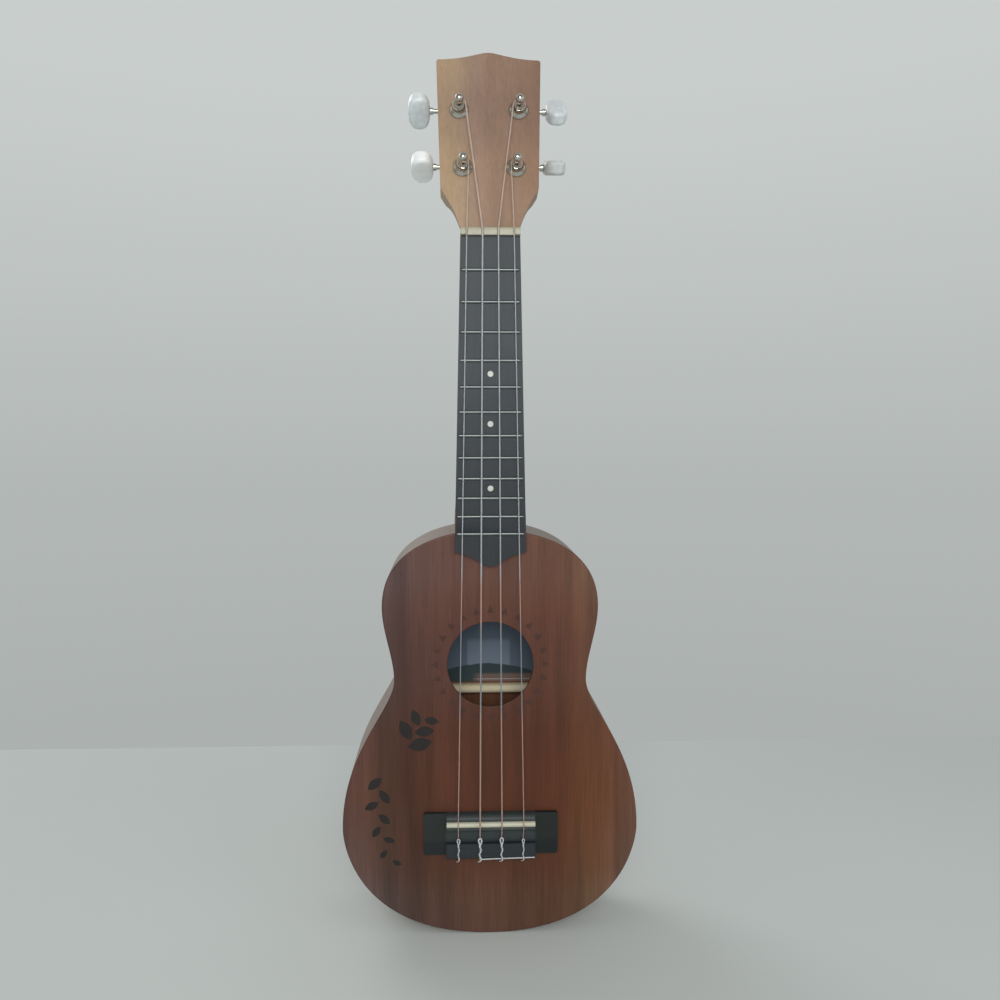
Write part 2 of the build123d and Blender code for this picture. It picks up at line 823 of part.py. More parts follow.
def make_tuner_plate():
    """Base plate with two bored lugs that carry the worm."""
    low, high = tuner_plate_reach
    middle = (high - low) / 2
    thickness = tuner_plate_thickness
    outline = Pos(0, middle) * RectangleRounded(tuner_plate_width, low + high, tuner_plate_corner)
    plate = extrude(Pos(0, 0, plate_back) * outline, thickness)
    for side in (-1, 1):
        centre = side * (lug_start + lug_thickness / 2)
        leg = Pos(centre, worm_offset, (plate_back + worm_level) / 2) * Box(
            lug_thickness, 2 * lug_radius, plate_back - worm_level
        )
        eye = Pos(centre, worm_offset, worm_level) * Rot(0, 90, 0) * Cylinder(lug_radius, lug_thickness)
        plate += leg + eye
    bore = Pos(0, worm_offset, worm_level) * Rot(0, 90, 0) * Cylinder(
        shaft_radius + running_clearance, tuner_plate_width * 2
    )
    plate -= bore
    plate -= Pos(0, 0, plate_back) * Cylinder(post_radius + running_clearance, 4 * thickness)
    for station in plate_screw_stations:
        plate -= Pos(0, station, plate_back) * Cylinder(wood_screw_radius, 4 * thickness)
    return plate


def worm_thread():
    """Single-start right-hand worm along Z, with a ridge at angle 0 halfway along."""
    turn = 2 * math.pi / worm_lead
    tip_angle = worm_lead * tooth_tip_share / 2 * turn
    root_angle = worm_lead * tooth_root_share / 2 * turn

    def polar(radius, angle):
        return (radius * math.cos(angle), radius * math.sin(angle))

    section = ThreePointArc(
        polar(worm_tip_radius, -tip_angle), polar(worm_tip_radius, 0), polar(worm_tip_radius, tip_angle)
    )
    section += Line(polar(worm_tip_radius, tip_angle), polar(worm_root_radius, root_angle))
    section += ThreePointArc(
        polar(worm_root_radius, root_angle),
        polar(worm_root_radius, math.pi),
        polar(worm_root_radius, -root_angle),
    )
    section += Line(polar(worm_root_radius, -root_angle), polar(worm_tip_radius, -tip_angle))
    turns = worm_length / worm_lead
    face = Pos(0, 0, -worm_length / 2) * Rot(0, 0, -180 * turns) * make_face(section)
    return Solid.extrude_linear_with_rotation(
        face.faces()[0], (0, 0, -worm_length / 2), (0, 0, worm_length), 360 * turns
    )


def worm_frame(name):
    """Frame of a worm: Z points out to the button and X points to the gear."""
    across, along = tuner_places[name]
    outwards = 1 if across > 0 else -1
    local = Plane(
        origin=(across, along + worm_offset, worm_level), x_dir=(0, -1, 0), z_dir=(outwards, 0, 0)
    )
    return head_plane.location * local.location


def make_worm_shaft(name):
    """Worm on its shaft, with the stem that carries the button."""
    inner_end = -(lug_start + lug_thickness + shaft_tip_reach)
    outer_end = button_start + button_socket
    stem = Pos(0, 0, (inner_end + outer_end) / 2) * Cylinder(shaft_radius, outer_end - inner_end)
    collar_start = lug_start + lug_thickness + face_clearance
    collar = Pos(0, 0, collar_start + collar_length / 2) * Cylinder(collar_radius, collar_length)
    ferrule = Pos(0, 0, button_start - ferrule_length / 2) * Cylinder(collar_radius, ferrule_length)
    return worm_frame(name) * (worm_thread() + stem + collar + ferrule)


def make_button(name):
    """Flat oval button with eased edges, bored for the stem."""
    half_reach = button_reach / 2
    half_width = button_width / 2
    quarter = [
        (half_reach, 0),
        (half_reach, half_width * button_fullness),
        (half_reach * button_fullness, half_width),
        (0, half_width),
    ]
    signs = ((1, 1), (-1, 1), (-1, -1), (1, -1))
    edges = [Bezier(*[(x * sx, y * sy) for x, y in quarter]) for sx, sy in signs]
    outline = make_face(Wire(edges))
    body = extrude(outline, button_thickness / 2, both=True)
    rims = body.edges().filter_by_position(
        Axis.Z, button_thickness / 2 - pick_margin, button_thickness / 2 + pick_margin
    )
    rims += body.edges().filter_by_position(
        Axis.Z, -button_thickness / 2 - pick_margin, -button_thickness / 2 + pick_margin
    )
    body = fillet(rims, button_edge_radius)
    # Turn the drawing so that its reach runs along the stem and its width across the head.
    body = Pos(0, 0, button_start + half_reach) * Rot(0, -90, 0) * body
    socket = Pos(0, 0, button_start + button_socket / 2) * Cylinder(shaft_radius, button_socket)
    return worm_frame(name) * (Rot(0, 0, button_angles[name]) * body - socket)


def make_gear():
    """Helical wheel with a boss against the plate and a square hole for the post's tenon."""
    step = 2 * math.pi / gear_teeth
    gap_turn = step / 2
    points = []
    for index in range(gear_teeth):
        centre = math.pi / 2 + gap_turn + index * step
        for radius, share in (
            (gear_root_radius, -tooth_root_share),
            (gear_tip_radius, -tooth_tip_share),
            (gear_tip_radius, tooth_tip_share),
            (gear_root_radius, tooth_root_share),
        ):
            half = share * worm_lead / 2 / gear_pitch_radius
            scale = 1.0 if radius > gear_pitch_radius else gear_pitch_radius / gear_root_radius
            points.append(
                (radius * math.cos(centre + half * scale), radius * math.sin(centre + half * scale))
            )
    twist = math.degrees(gear_thickness * gear_module / (2 * worm_pitch_radius) / gear_pitch_radius)
    face = Pos(0, 0, gear_back) * Rot(0, 0, -twist / 2) * polygon(points)
    wheel = Solid.extrude_linear_with_rotation(
        face.faces()[0], (0, 0, gear_back), (0, 0, gear_thickness), twist
    )
    boss_top = plate_back - face_clearance
    boss_base = gear_back + gear_thickness
    boss = Pos(0, 0, (boss_top + boss_base) / 2) * Cylinder(gear_boss_radius, boss_top - boss_base)
    hole = Box(post_tenon_width, post_tenon_width, 4 * head_thickness)
    return Part() + wheel + boss - hole


def make_post():
    """String post: capped top, waist for the turns, bearing length and square tenon."""
    tenon_top = plate_back - face_clearance
    cap_start = post_height - post_cap_height
    waist_start = bushing_height + post_shoulder
    profile = Polyline(
        (0, tenon_top),
        (post_radius, tenon_top),
        (post_radius, waist_start),
        (post_waist_radius, waist_start + post_shoulder),
        (post_waist_radius, cap_start - post_cap_flare),
    )
    cap_shoulder = cap_start + post_cap_height * 0.3
    profile += Bezier(
        (post_waist_radius, cap_start - post_cap_flare),
        (post_waist_radius, cap_start),
        (post_cap_radius, cap_start),
        (post_cap_radius, cap_shoulder),
    )
    profile += Bezier(
        (post_cap_radius, cap_shoulder),
        (post_cap_radius, post_height - post_cap_height * 0.2),
        (post_cap_radius * 0.6, post_height),
        (0, post_height),
    )
    profile += Line((0, post_height), (0, tenon_top))
    post = revolve(Plane.XZ * make_face(profile), Axis.Z)
    tenon_length = tenon_top - gear_back
    post += Pos(0, 0, gear_back + tenon_length / 2) * Box(
        post_tenon_width, post_tenon_width, tenon_length
    )
    hole_level = cap_start - post_cap_flare - post_string_hole_radius
    post -= Pos(0, 0, hole_level) * Rot(90, 0, 0) * Cylinder(post_string_hole_radius, 3 * post_radius)
    return post - make_gear_screw()


def make_gear_screw():
    """Slotted screw that holds the gear on the post's tenon."""
    shank = Pos(0, 0, gear_back + gear_screw_length / 2) * Cylinder(gear_screw_radius, gear_screw_length)
    return shank + dome(gear_screw_head_radius, gear_screw_head_height, gear_back)


def make_winding(name):
    """Turns of string on the post, stacked upwards from where the string arrives."""
    diameter = string_diameters[name]
    base = string_level(name) - diameter / 2
    inner = post_waist_radius
    outline = Line((inner, base), (inner + diameter / 2, base))
    for turn in range(winding_turns):
        low = base + turn * diameter
        outline += ThreePointArc(
            (inner + diameter / 2, low),
            (inner + diameter, low + diameter / 2),
            (inner + diameter / 2, low + diameter),
        )
    top = base + winding_turns * diameter
    outline += Polyline((inner + diameter / 2, top), (inner, top), (inner, base))
    return revolve(Plane.XZ * make_face(outline), Axis.Z)


def make_bushing():
    """Press-in bushing with a bell-shaped flange on the head's face."""
    bore = post_radius + running_clearance
    profile = Polyline(
        (bore, bushing_height),
        (bore, -bushing_sleeve_length),
        (bushing_sleeve_radius, -bushing_sleeve_length),
        (bushing_sleeve_radius, 0),
        (bushing_flange_radius, 0),
        (bushing_flange_radius, bushing_rim),
    )
    profile += Bezier(
        (bushing_flange_radius, bushing_rim),
        (bushing_flange_radius - bushing_rim, bushing_height / 2),
        (bushing_top_radius, bushing_height / 2),
        (bushing_top_radius, bushing_height),
    )
    profile += Line((bushing_top_radius, bushing_height), (bore, bushing_height))
    return revolve(Plane.XZ * make_face(profile), Axis.Z)


# ---- Assembly ------------------------------------------------------------------------------
os.makedirs("parts", exist_ok=True)

neck_block = make_neck_block()
tail_block = make_tail_block()
bass_side, treble_side = make_sides()
end_blocks = (neck_block, tail_block)

save(make_soundboard(), "soundboard")
save(rounded_plate(back_inner_face, body_depth, False), "back_plate")
save(bass_side, "bass_side")
save(treble_side, "treble_side")
save(neck_block, "neck_block")
save(tail_block, "tail_block")
save(
    make_lining(soundboard_thickness, soundboard_thickness + lining_height, end_blocks),
    "top_linings",
)
save(make_lining(back_inner_face - lining_height, back_inner_face, end_blocks), "back_linings")
save(Compound(children=make_soundboard_braces()), "soundboard_braces")
save(Compound(children=make_back_braces()), "back_braces")
save(make_bridge_plate(), "bridge_plate")
save(make_label(), "label")
save(make_neck(), "neck")
save(make_headstock(), "headstock")
save(make_fingerboard(), "fingerboard")
save(Compound(children=make_frets()), "frets")
save(Compound(children=make_dots()), "position_dots")
save(make_nut(), "nut")
save(make_bridge(), "bridge")
save(make_saddle(), "saddle")

bushings = []
plate_screws = []
for name in string_names:
    save(make_string(name), f"string_{name}")
    save(at_tuner(name, make_tuner_plate()), f"tuner_plate_{name}")
    save(make_worm_shaft(name), f"worm_shaft_{name}")
    save(make_button(name), f"button_{name}")
    save(at_tuner(name, make_gear()), f"gear_{name}")
    save(at_tuner(name, make_gear_screw()), f"gear_screw_{name}")
    save(at_tuner(name, make_post()), f"post_{name}")
    save(at_tuner(name, make_winding(name)), f"string_winding_{name}")
    bushings.append(at_tuner(name, make_bushing()))
    for station in plate_screw_stations:
        plate_screws.append(at_tuner(name, Pos(0, station, 0) * make_wood_screw()))
save(Compound(children=bushings), "post_bushings")
save(Compound(children=plate_screws), "plate_screws")
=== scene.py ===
"""Soprano ukulele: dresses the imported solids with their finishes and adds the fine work.

The frame is in metres: +Z runs up the neck, the strings face -Y, and the treble side is at +X.
Z = 0 is the front edge of the nut and Y = 0 the soundboard's face. Sizes are named in
millimetres and meet the frame through MM, apart from the studio's lamps.
"""

from __future__ import annotations

import json
import logging
import math
from dataclasses import dataclass
from enum import Enum
from typing import Any, Callable, Sequence

import bmesh
import bpy
from mathutils import Matrix, Vector

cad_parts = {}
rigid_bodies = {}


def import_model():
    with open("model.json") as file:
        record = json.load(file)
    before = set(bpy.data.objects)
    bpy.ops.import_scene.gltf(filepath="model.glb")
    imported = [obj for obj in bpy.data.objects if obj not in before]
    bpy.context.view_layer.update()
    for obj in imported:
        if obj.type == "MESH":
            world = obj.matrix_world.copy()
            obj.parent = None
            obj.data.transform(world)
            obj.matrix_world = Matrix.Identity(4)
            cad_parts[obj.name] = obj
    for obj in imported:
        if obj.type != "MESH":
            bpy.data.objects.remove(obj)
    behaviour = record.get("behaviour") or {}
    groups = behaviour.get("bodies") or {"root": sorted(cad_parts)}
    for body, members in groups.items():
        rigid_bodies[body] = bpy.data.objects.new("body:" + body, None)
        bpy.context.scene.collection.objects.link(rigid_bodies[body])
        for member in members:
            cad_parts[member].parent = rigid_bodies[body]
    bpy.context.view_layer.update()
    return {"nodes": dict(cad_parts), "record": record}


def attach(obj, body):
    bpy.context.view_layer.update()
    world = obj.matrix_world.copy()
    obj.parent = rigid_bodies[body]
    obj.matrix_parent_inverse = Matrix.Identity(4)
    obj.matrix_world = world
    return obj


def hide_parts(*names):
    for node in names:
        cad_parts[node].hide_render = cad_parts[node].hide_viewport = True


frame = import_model()
LOG = logging.getLogger("ukulele")
MM = 0.001
HOLE_Z = -252.5  # centre of the sound hole
STRING_DIAMETERS = {"g": 0.66, "c": 0.96, "e": 0.81, "a": 0.62}
MERGE_SOLID = 0.004  # corners of a solid's mesh this close are one
MERGE_BAKED = 0.0005  # corners of a baked mesh this close are one
FLAT_DEGREES = 0.15  # faces that meet at less lie in one flat
UPRIGHT = (math.pi / 2, 0.0, 0.0)  # turns what lies flat into the soundboard's plane

Inputs = dict[Any, Any]
Points = list[tuple[float, float]]
Stops = Sequence[tuple[float, Any]]
Place = tuple[float, float, float]


# ---- Node trees ----------------------------------------------------------------------------
def linear(hex_colour: str) -> tuple[float, float, float, float]:
    """Turn an sRGB hex colour into linear light.

    Args:
        hex_colour: Six hex digits after a hash sign.

    Returns:
        Red, green, blue and an alpha of 1.
    """
    channels = [int(hex_colour[i : i + 2], 16) / 255 for i in (1, 3, 5)]
    light = [c / 12.92 if c <= 0.04045 else ((c + 0.055) / 1.055) ** 2.4 for c in channels]
    return (*light, 1.0)


def paint(colour: Any) -> Any:
    """Turn a hex colour or a grey level into a colour, and leave a socket as it is.

    Args:
        colour: Six hex digits after a hash sign, a grey level, a colour or a socket.

    Returns:
        What a colour input takes.
    """
    if isinstance(colour, str):
        return linear(colour)
    return (colour, colour, colour, 1.0) if isinstance(colour, float) else colour


def add_node(tree: bpy.types.NodeTree, kind: str, inputs: Inputs | None = None, **settings: Any) -> Any:
    """Add one node with its settings, input values and incoming links.

    Args:
        tree: The tree that gets the node.
        kind: The node's type name.
        inputs: Input name or index to a value, or to the socket, Number or node that feeds it.
        settings: Properties set on the node itself, before its inputs.

    Returns:
        The new node.
    """
    node = tree.nodes.new(kind)
    for key, value in settings.items():
        setattr(node, key, value)
    for key, value in (inputs or {}).items():
        source = value.source if isinstance(value, Number) else value
        if isinstance(source, bpy.types.Node):
            source = source.outputs[0]
        if isinstance(source, bpy.types.NodeSocket):
            tree.links.new(source, node.inputs[key])
        else:
            node.inputs[key].default_value = source
    return node


class Number:
    """A value in a node tree, which takes part in plain arithmetic."""

    def __init__(self, tree: bpy.types.NodeTree, source: Any) -> None:
        """Hold an output socket, or the plain number that a sum starts with."""
        self.tree = tree
        self.source = source

    def using(self, operation: str, *others: Any) -> Number:
        """Work out one sum that starts with this value.

        Args:
            operation: The sum's name in Blender.
            others: The sum's other values.

        Returns:
            The result.
        """
        node = add_node(self.tree, "ShaderNodeMath", dict(enumerate((self, *others))), operation=operation)
        return Number(self.tree, node.outputs[0])

    def __add__(self, other: Any) -> Number:
        """Add another value."""
        return self.using("ADD", other)

    def __sub__(self, other: Any) -> Number:
        """Take another value away."""
        return self.using("SUBTRACT", other)

    def __rsub__(self, other: float) -> Number:
        """Take this value from a plain number."""
        return Number(self.tree, other).using("SUBTRACT", self)

    def __mul__(self, other: Any) -> Number:
        """Multiply by another value."""
        return self.using("MULTIPLY", other)

    def __truediv__(self, other: Any) -> Number:
        """Divide by another value."""
        return self.using("DIVIDE", other)

    def __pow__(self, other: Any) -> Number:
        """Raise to a power."""
        return self.using("POWER", other)

    def __rpow__(self, other: float) -> Number:
        """Raise a plain number to this power."""
        return Number(self.tree, other).using("POWER", self)

    def rise(self, low: float, high: float, start: float = 0.0, end: float = 1.0) -> Number:
        """Go steadily from one level to another while this value goes from low to high.

        Args:
            low: This value where the change starts.
            high: This value where it ends, which may lie below low.
            start: The level before the change.
            end: The level after it.

        Returns:
            The level.
        """
        limits = {"Value": self, "From Min": low, "From Max": high, "To Min": start, "To Max": end}
        return Number(self.tree, add_node(self.tree, "ShaderNodeMapRange", limits).outputs[0])

    def past(self, edge: float, soft: float) -> Number:
        """Go from 0 to 1 where this length passes an edge, over a soft width in millimetres."""
        return self.rise((edge - soft / 2) * MM, (edge + soft / 2) * MM)

    def colours(self, stops: Stops, unit: float = 1.0) -> Any:
        """Let colours follow this value.

        Args:
            stops: Values in rising order, with a hex colour or a grey level each.
            unit: The unit of the stops' values.

        Returns:
            The colour output.
        """
        low, high = stops[0][0], stops[-1][0]
        node = add_node(self.tree, "ShaderNodeValToRGB", {"Fac": self.rise(low * unit, high * unit)})
        elements = node.color_ramp.elements
        while len(elements) < len(stops):
            elements.new(0.5)
        for element, (value, colour) in zip(elements, stops):
            element.position = (value - low) / (high - low)
            element.color = paint(colour)
        return node.outputs["Color"]


class Blend(Enum):
    """How one layer of colour meets the layer under it."""

    OVER = "MIX"
    MULTIPLIED = "MULTIPLY"
    OVERLAID = "OVERLAY"


class Coating:
    """A material in the making: its tree, its coordinates and the colour laid so far."""

    NOISE_ROUGHNESS = 0.55

    def __init__(self, name: str, colour: Any = None) -> None:
        """Start a material.

        Args:
            name: The material's name.
            colour: Its ground colour, if it has one from the start.
        """
        self.material = bpy.data.materials.new(name)
        self.material.use_nodes = True
        self.tree = self.material.node_tree
        self.tree.nodes.clear()
        self.colour = paint(colour)
        self.place = self.add("ShaderNodeTexCoord").outputs["Object"]
        split = self.add("ShaderNodeSeparateXYZ", {0: self.place})
        self.axis = {letter: Number(self.tree, split.outputs[letter]) for letter in "XYZ"}

    def add(self, kind: str, inputs: Inputs | None = None, **settings: Any) -> Any:
        """Add one node to the tree, as add_node does."""
        return add_node(self.tree, kind, inputs, **settings)

    def noise(self, size: Sequence[float], detail: float = 2.0, offset: Place = (0.0, 0.0, 0.0)) -> Number:
        """Noise whose grains have a real size along each axis.

        Args:
            size: Grain size along X, Y and Z in millimetres.
            detail: Octaves of finer noise.
            offset: Where the pattern starts, in grains.

        Returns:
            The noise's value.
        """
        scale = [1.0 / (s * MM) for s in size]
        moved = self.add("ShaderNodeMapping", {"Vector": self.place, "Scale": scale, "Location": offset})
        looks = {"Vector": moved, "Scale": 1.0, "Detail": detail, "Roughness": self.NOISE_ROUGHNESS}
        return Number(self.tree, self.add("ShaderNodeTexNoise", looks).outputs["Fac"])

    def lay(self, colour: Any, share: Any = 1.0, how: Blend = Blend.OVER) -> None:
        """Lay one more colour over what is there.

        Args:
            colour: A hex colour or a colour output.
            share: How much of it, as a plain number or a Number.
            how: How the two meet.
        """
        layers = {0: share, 6: self.colour, 7: paint(colour)}
        self.colour = self.add("ShaderNodeMix", layers, data_type="RGBA", blend_type=how.value).outputs[2]

    def done(self, sockets: dict[str, Any]) -> bpy.types.Material:
        """End the material in its shader.

        Args:
            sockets: What the shader's sockets get, apart from the colour.

        Returns:
            The finished material.
        """
        shader = self.add("ShaderNodeBsdfPrincipled", {"Base Color": self.colour, **sockets})
        self.add("ShaderNodeOutputMaterial", {"Surface": shader})
        return self.material


# ---- Finishes ------------------------------------------------------------------------------
class Slot(Enum):
    """The record's material slots."""

    MAHOGANY = "mahogany"
    NECK_WOOD = "neck_wood"
    ROSEWOOD = "rosewood"
    CREAM = "cream"
    FRET_WIRE = "fret_wire"
    PEARL = "pearl"
    CHROME = "chrome"
    GEAR_STEEL = "gear_steel"
    NYLON = "nylon"


class Way(Enum):
    """A way over the instrument, by the axis that it follows."""

    ALONG_NECK = "Z"
    ACROSS = "X"


@dataclass(frozen=True)
class Wood:
    """Open-pored hardwood under a thin satin lacquer.

    The eye gets long fibres, short dark pores along them, and slow ribbon bands where the
    fibres lean one way and then the other.
    """

    name: str
    # The colours across the grain carry the wood's figure, and on the soundboard and the sides also painted
    # light.
    figure_and_light: Stops  # place across the grain, and colour
    grain: Way = Way.ALONG_NECK
    # On the soundboard, the multiplier along one way is painted light.
    tone_and_light: Stops = ()  # place, and what the colour is multiplied by
    tone_and_light_way: Way = Way.ALONG_NECK
    pore_colour: str = "#2c1a13"
    pore_share: float = 0.22
    pore_mm: tuple[float, float] = (0.55, 7.0)
    band_mm: float = 9.0
    band_length_mm: float = 160.0
    band_depth: float = 0.10
    fibre_mm: float = 1.1
    fibre_length_mm: float = 34.0
    fibre_depth: float = 0.07
    bend_mm: tuple[float, float] = (38.0, 190.0)
    wander_mm: float = 4.0
    roughness: float = 0.42
    roughness_span: tuple[float, float] = (-0.06, 0.08)
    gloss: float = 0.35
    coat: float = 0.08
    coat_roughness: float = 0.22
    bump_mm: float = 0.03
    bump_strength: float = 0.35

    def sized(self, width: float, length: float) -> list[float]:
        """Grain size on each axis, from a width across the fibres and a length along them."""
        return [length if letter == self.grain.value else width for letter in "XYZ"]

    def build(self) -> bpy.types.Material:
        """Build the material.

        Returns:
            The finished material.
        """
        work = Coating(self.name)
        # Slow bends of the grain move the figure sideways.
        bend = work.noise(self.sized(*self.bend_mm), 1.0)
        sideways = Way.ACROSS if self.grain is Way.ALONG_NECK else Way.ALONG_NECK
        moved = (bend - 0.5) * (2 * self.wander_mm * MM) + work.axis[sideways.value]
        work.colour = moved.colours(self.figure_and_light, MM)
        if self.tone_and_light:
            work.lay(work.axis[self.tone_and_light_way.value].colours(self.tone_and_light, MM), how=Blend.MULTIPLIED)
        # Ribbon bands, then fibres, lighten and darken the figure.
        bands = work.noise(self.sized(self.band_mm, self.band_length_mm), 2.0, (3.1, 0.4, 7.7))
        fibres = work.noise(self.sized(self.fibre_mm, self.fibre_length_mm), 3.0)
        for streaks, bright, depth in ((bands, 0.7, self.band_depth), (fibres, 0.72, self.fibre_depth)):
            work.lay(streaks.colours([(0.3, 0.5 - depth), (bright, 0.5 + depth)]), how=Blend.OVERLAID)
        # Pores are drawn as coarse as they need to show.
        pores = work.noise(self.sized(*self.pore_mm), 1.0, (11.0, 2.0, 5.0)).rise(0.60, 0.72)
        work.lay(self.pore_colour, pores * self.pore_share)
        smoothest, roughest = (self.roughness + change for change in self.roughness_span)
        relief = {"Height": fibres - pores, "Strength": self.bump_strength, "Distance": self.bump_mm * MM}
        return work.done(
            {
                "Roughness": bands.rise(0.0, 1.0, smoothest, roughest),
                "Normal": work.add("ShaderNodeBump", relief),
                "Coat Weight": self.coat,
                "Coat Roughness": self.coat_roughness,
                "IOR": 1.5,
                "Specular IOR Level": self.gloss,
            }
        )


@dataclass(frozen=True)
class Metal:
    """Plated or drawn metal: bright, with faint polishing haze."""

    name: str
    colour: str
    roughness: float
    haze: float = 0.06
    haze_mm: float = 1.6
    haze_share: float = 0.12
    least_roughness: float = 0.02

    def build(self) -> bpy.types.Material:
        """Build the material.

        Returns:
            The finished material.
        """
        work = Coating(self.name, self.colour)
        cloud = work.noise((self.haze_mm,) * 3, 3.0)
        work.lay(cloud.colours([(0.3, 0.25), (0.7, 0.9)]), self.haze_share, Blend.MULTIPLIED)
        smoothest = max(self.roughness - self.haze, self.least_roughness)
        hazy = cloud.rise(0.0, 1.0, smoothest, self.roughness + self.haze)
        return work.done({"Roughness": hazy, "Metallic": 1.0})


@dataclass(frozen=True)
class Plastic:
    """Moulded plastic or burnt wood, with a faint cloud of tone and a fine surface."""

    name: str
    colour: str
    shade_colour: str
    roughness: float
    cloud_mm: float = 6.0
    fine_mm: float = 0.5
    bump_mm: float = 0.01
    bump_strength: float = 0.2
    ior: float = 1.49

    def build(self) -> bpy.types.Material:
        """Build the material.

        Returns:
            The finished material.
        """
        work = Coating(self.name)
        cloud = work.noise((self.cloud_mm,) * 3, 3.0)
        work.colour = cloud.colours([(0.35, self.shade_colour), (0.65, self.colour)])
        fine = work.noise((self.fine_mm,) * 3)
        relief = {"Height": fine, "Strength": self.bump_strength, "Distance": self.bump_mm * MM}
        bump = work.add("ShaderNodeBump", relief)
        return work.done({"Normal": bump, "Roughness": self.roughness, "IOR": self.ior})


@dataclass(frozen=True)
class Pearloid:
    """Polished pearl celluloid: milky plates that catch the light each their own way."""

    name: str
    bright: str
    shadow: str
    plate_mm: float = 3.4
    bend_mm: float = 5.0
    bend_share: float = 1.5
    streak_mm: Place = (2.2, 2.2, 5.5)
    streak_share: float = 0.5
    roughness: float = 0.28
    milkiness: float = 0.6
    depth_mm: float = 4.0

    def build(self) -> bpy.types.Material:
        """Build the material.

        Returns:
            The finished material.
        """
        work = Coating(self.name)
        bend = work.noise((self.bend_mm,) * 3)
        reach = self.plate_mm * self.bend_share * MM
        bent = work.add("ShaderNodeVectorMath", {0: bend, "Scale": reach}, operation="SCALE")
        moved = work.add("ShaderNodeVectorMath", {0: work.place, 1: bent}, operation="ADD")
        cells = {"Vector": moved, "Scale": 1.0 / (self.plate_mm * MM)}
        plates = work.add("ShaderNodeTexVoronoi", cells, feature="SMOOTH_F1")
        off_middle = Number(work.tree, plates.outputs["Distance"])
        work.colour = off_middle.colours([(0.05, self.bright), (0.75, self.shadow)])
        streaks = work.noise(self.streak_mm, 3.0)
        work.lay(streaks.colours([(0.35, self.shadow), (0.62, self.bright)]), self.streak_share)
        return work.done(
            {
                "Roughness": self.roughness,
                "IOR": 1.5,
                # Light spreads under the surface, so the edges stay milky.
                "Subsurface Weight": self.milkiness,
                "Subsurface Radius": (1.0, 1.0, 1.0),
                "Subsurface Scale": self.depth_mm * MM,
            }
        )


@dataclass(frozen=True)
class Nylon:
    """Extruded nylon string: smooth, slightly see-through at its edges."""

    name: str
    colour: str
    clearness: float
    painted_see_through: Stops = ()  # height, and what the colour is multiplied by
    streak_mm: Place = (2.0, 2.0, 9.0)
    streak_share: float = 0.25
    roughness: float = 0.28

    def build(self) -> bpy.types.Material:
        """Build the material.

        Returns:
            The finished material.
        """
        work = Coating(self.name, self.colour)
        streaks = work.noise(self.streak_mm)
        work.lay(streaks.colours([(0.3, 0.75), (0.7, 1.0)]), self.streak_share, Blend.MULTIPLIED)
        if self.painted_see_through:
            # Painted see-through: the colour of what lies under the clear nylon is painted onto it along its
            # height.
            work.lay(work.axis["Z"].colours(self.painted_see_through, MM), how=Blend.MULTIPLIED)
        return work.done({"Roughness": self.roughness, "IOR": 1.53, "Transmission Weight": self.clearness})


@dataclass(frozen=True)
class Paper:
    """Printed paper: a pale field over an arched dark one, and a dotted rule on a warm strip."""

    name: str
    field_colour: str
    panel_colour: str
    hill_colour: str
    strip_colour: str
    dot_colour: str
    panel: Place = (-13.0, 15.0, -250.0)  # left, right and top
    panel_soft: tuple[float, float] = (1.0, 3.0)  # at its sides and its top
    arch_top_z: float = -266.6
    arch_drop: float = 4.4
    arch_half_width: float = 27.0
    arch_soft: float = 0.7
    ragged_mm: float = 1.6
    ragged_grain_mm: float = 5.0
    strip: tuple[float, float] = (-7.0, -272.8)  # left end and top
    strip_soft: tuple[float, float] = (6.0, 1.5)
    rule_z: float = -276.4
    rule_half_height: float = 0.35
    dot_pitch: float = 1.6
    dot_share: float = 0.55
    fibre_mm: float = 1.2
    fibre_share: float = 0.15
    roughness: float = 0.7

    def build(self) -> bpy.types.Material:
        """Build the material.

        Returns:
            The finished material.
        """
        work = Coating(self.name, self.field_colour)
        x, z = work.axis["X"], work.axis["Z"]
        left, right, top = self.panel
        soft, soft_top = self.panel_soft
        inside = x.past(left, soft) * (1.0 - x.past(right, soft))
        work.lay(self.panel_colour, inside * (1.0 - z.past(top, soft_top)))
        # The dark field's edge is an arch that a slow noise makes uneven.
        drop = (x / (self.arch_half_width * MM)) ** 2.0 * (self.arch_drop * MM)
        ragged = work.noise((self.ragged_grain_mm,) * 3, 3.0) * (-self.ragged_mm * MM)
        work.lay(self.hill_colour, 1.0 - (ragged + (drop + z)).past(self.arch_top_z, self.arch_soft))
        (strip_left, strip_top), (soft, soft_top) = self.strip, self.strip_soft
        strip = x.past(strip_left, soft) * (1.0 - z.past(strip_top, soft_top))
        work.lay(self.strip_colour, strip)
        rule = (z - self.rule_z * MM).using("COMPARE", 0.0, self.rule_half_height * MM)
        beat = x.using("WRAP", self.dot_pitch * MM, 0.0)
        dots = beat.using("LESS_THAN", self.dot_pitch * self.dot_share * MM)
        work.lay(self.dot_colour, rule * dots * strip)
        fibres = work.noise((self.fibre_mm,) * 3, 4.0)
        work.lay(fibres.colours([(0.3, 0.7), (0.7, 1.0)]), self.fibre_share, Blend.MULTIPLIED)
        return work.done({"Roughness": self.roughness})


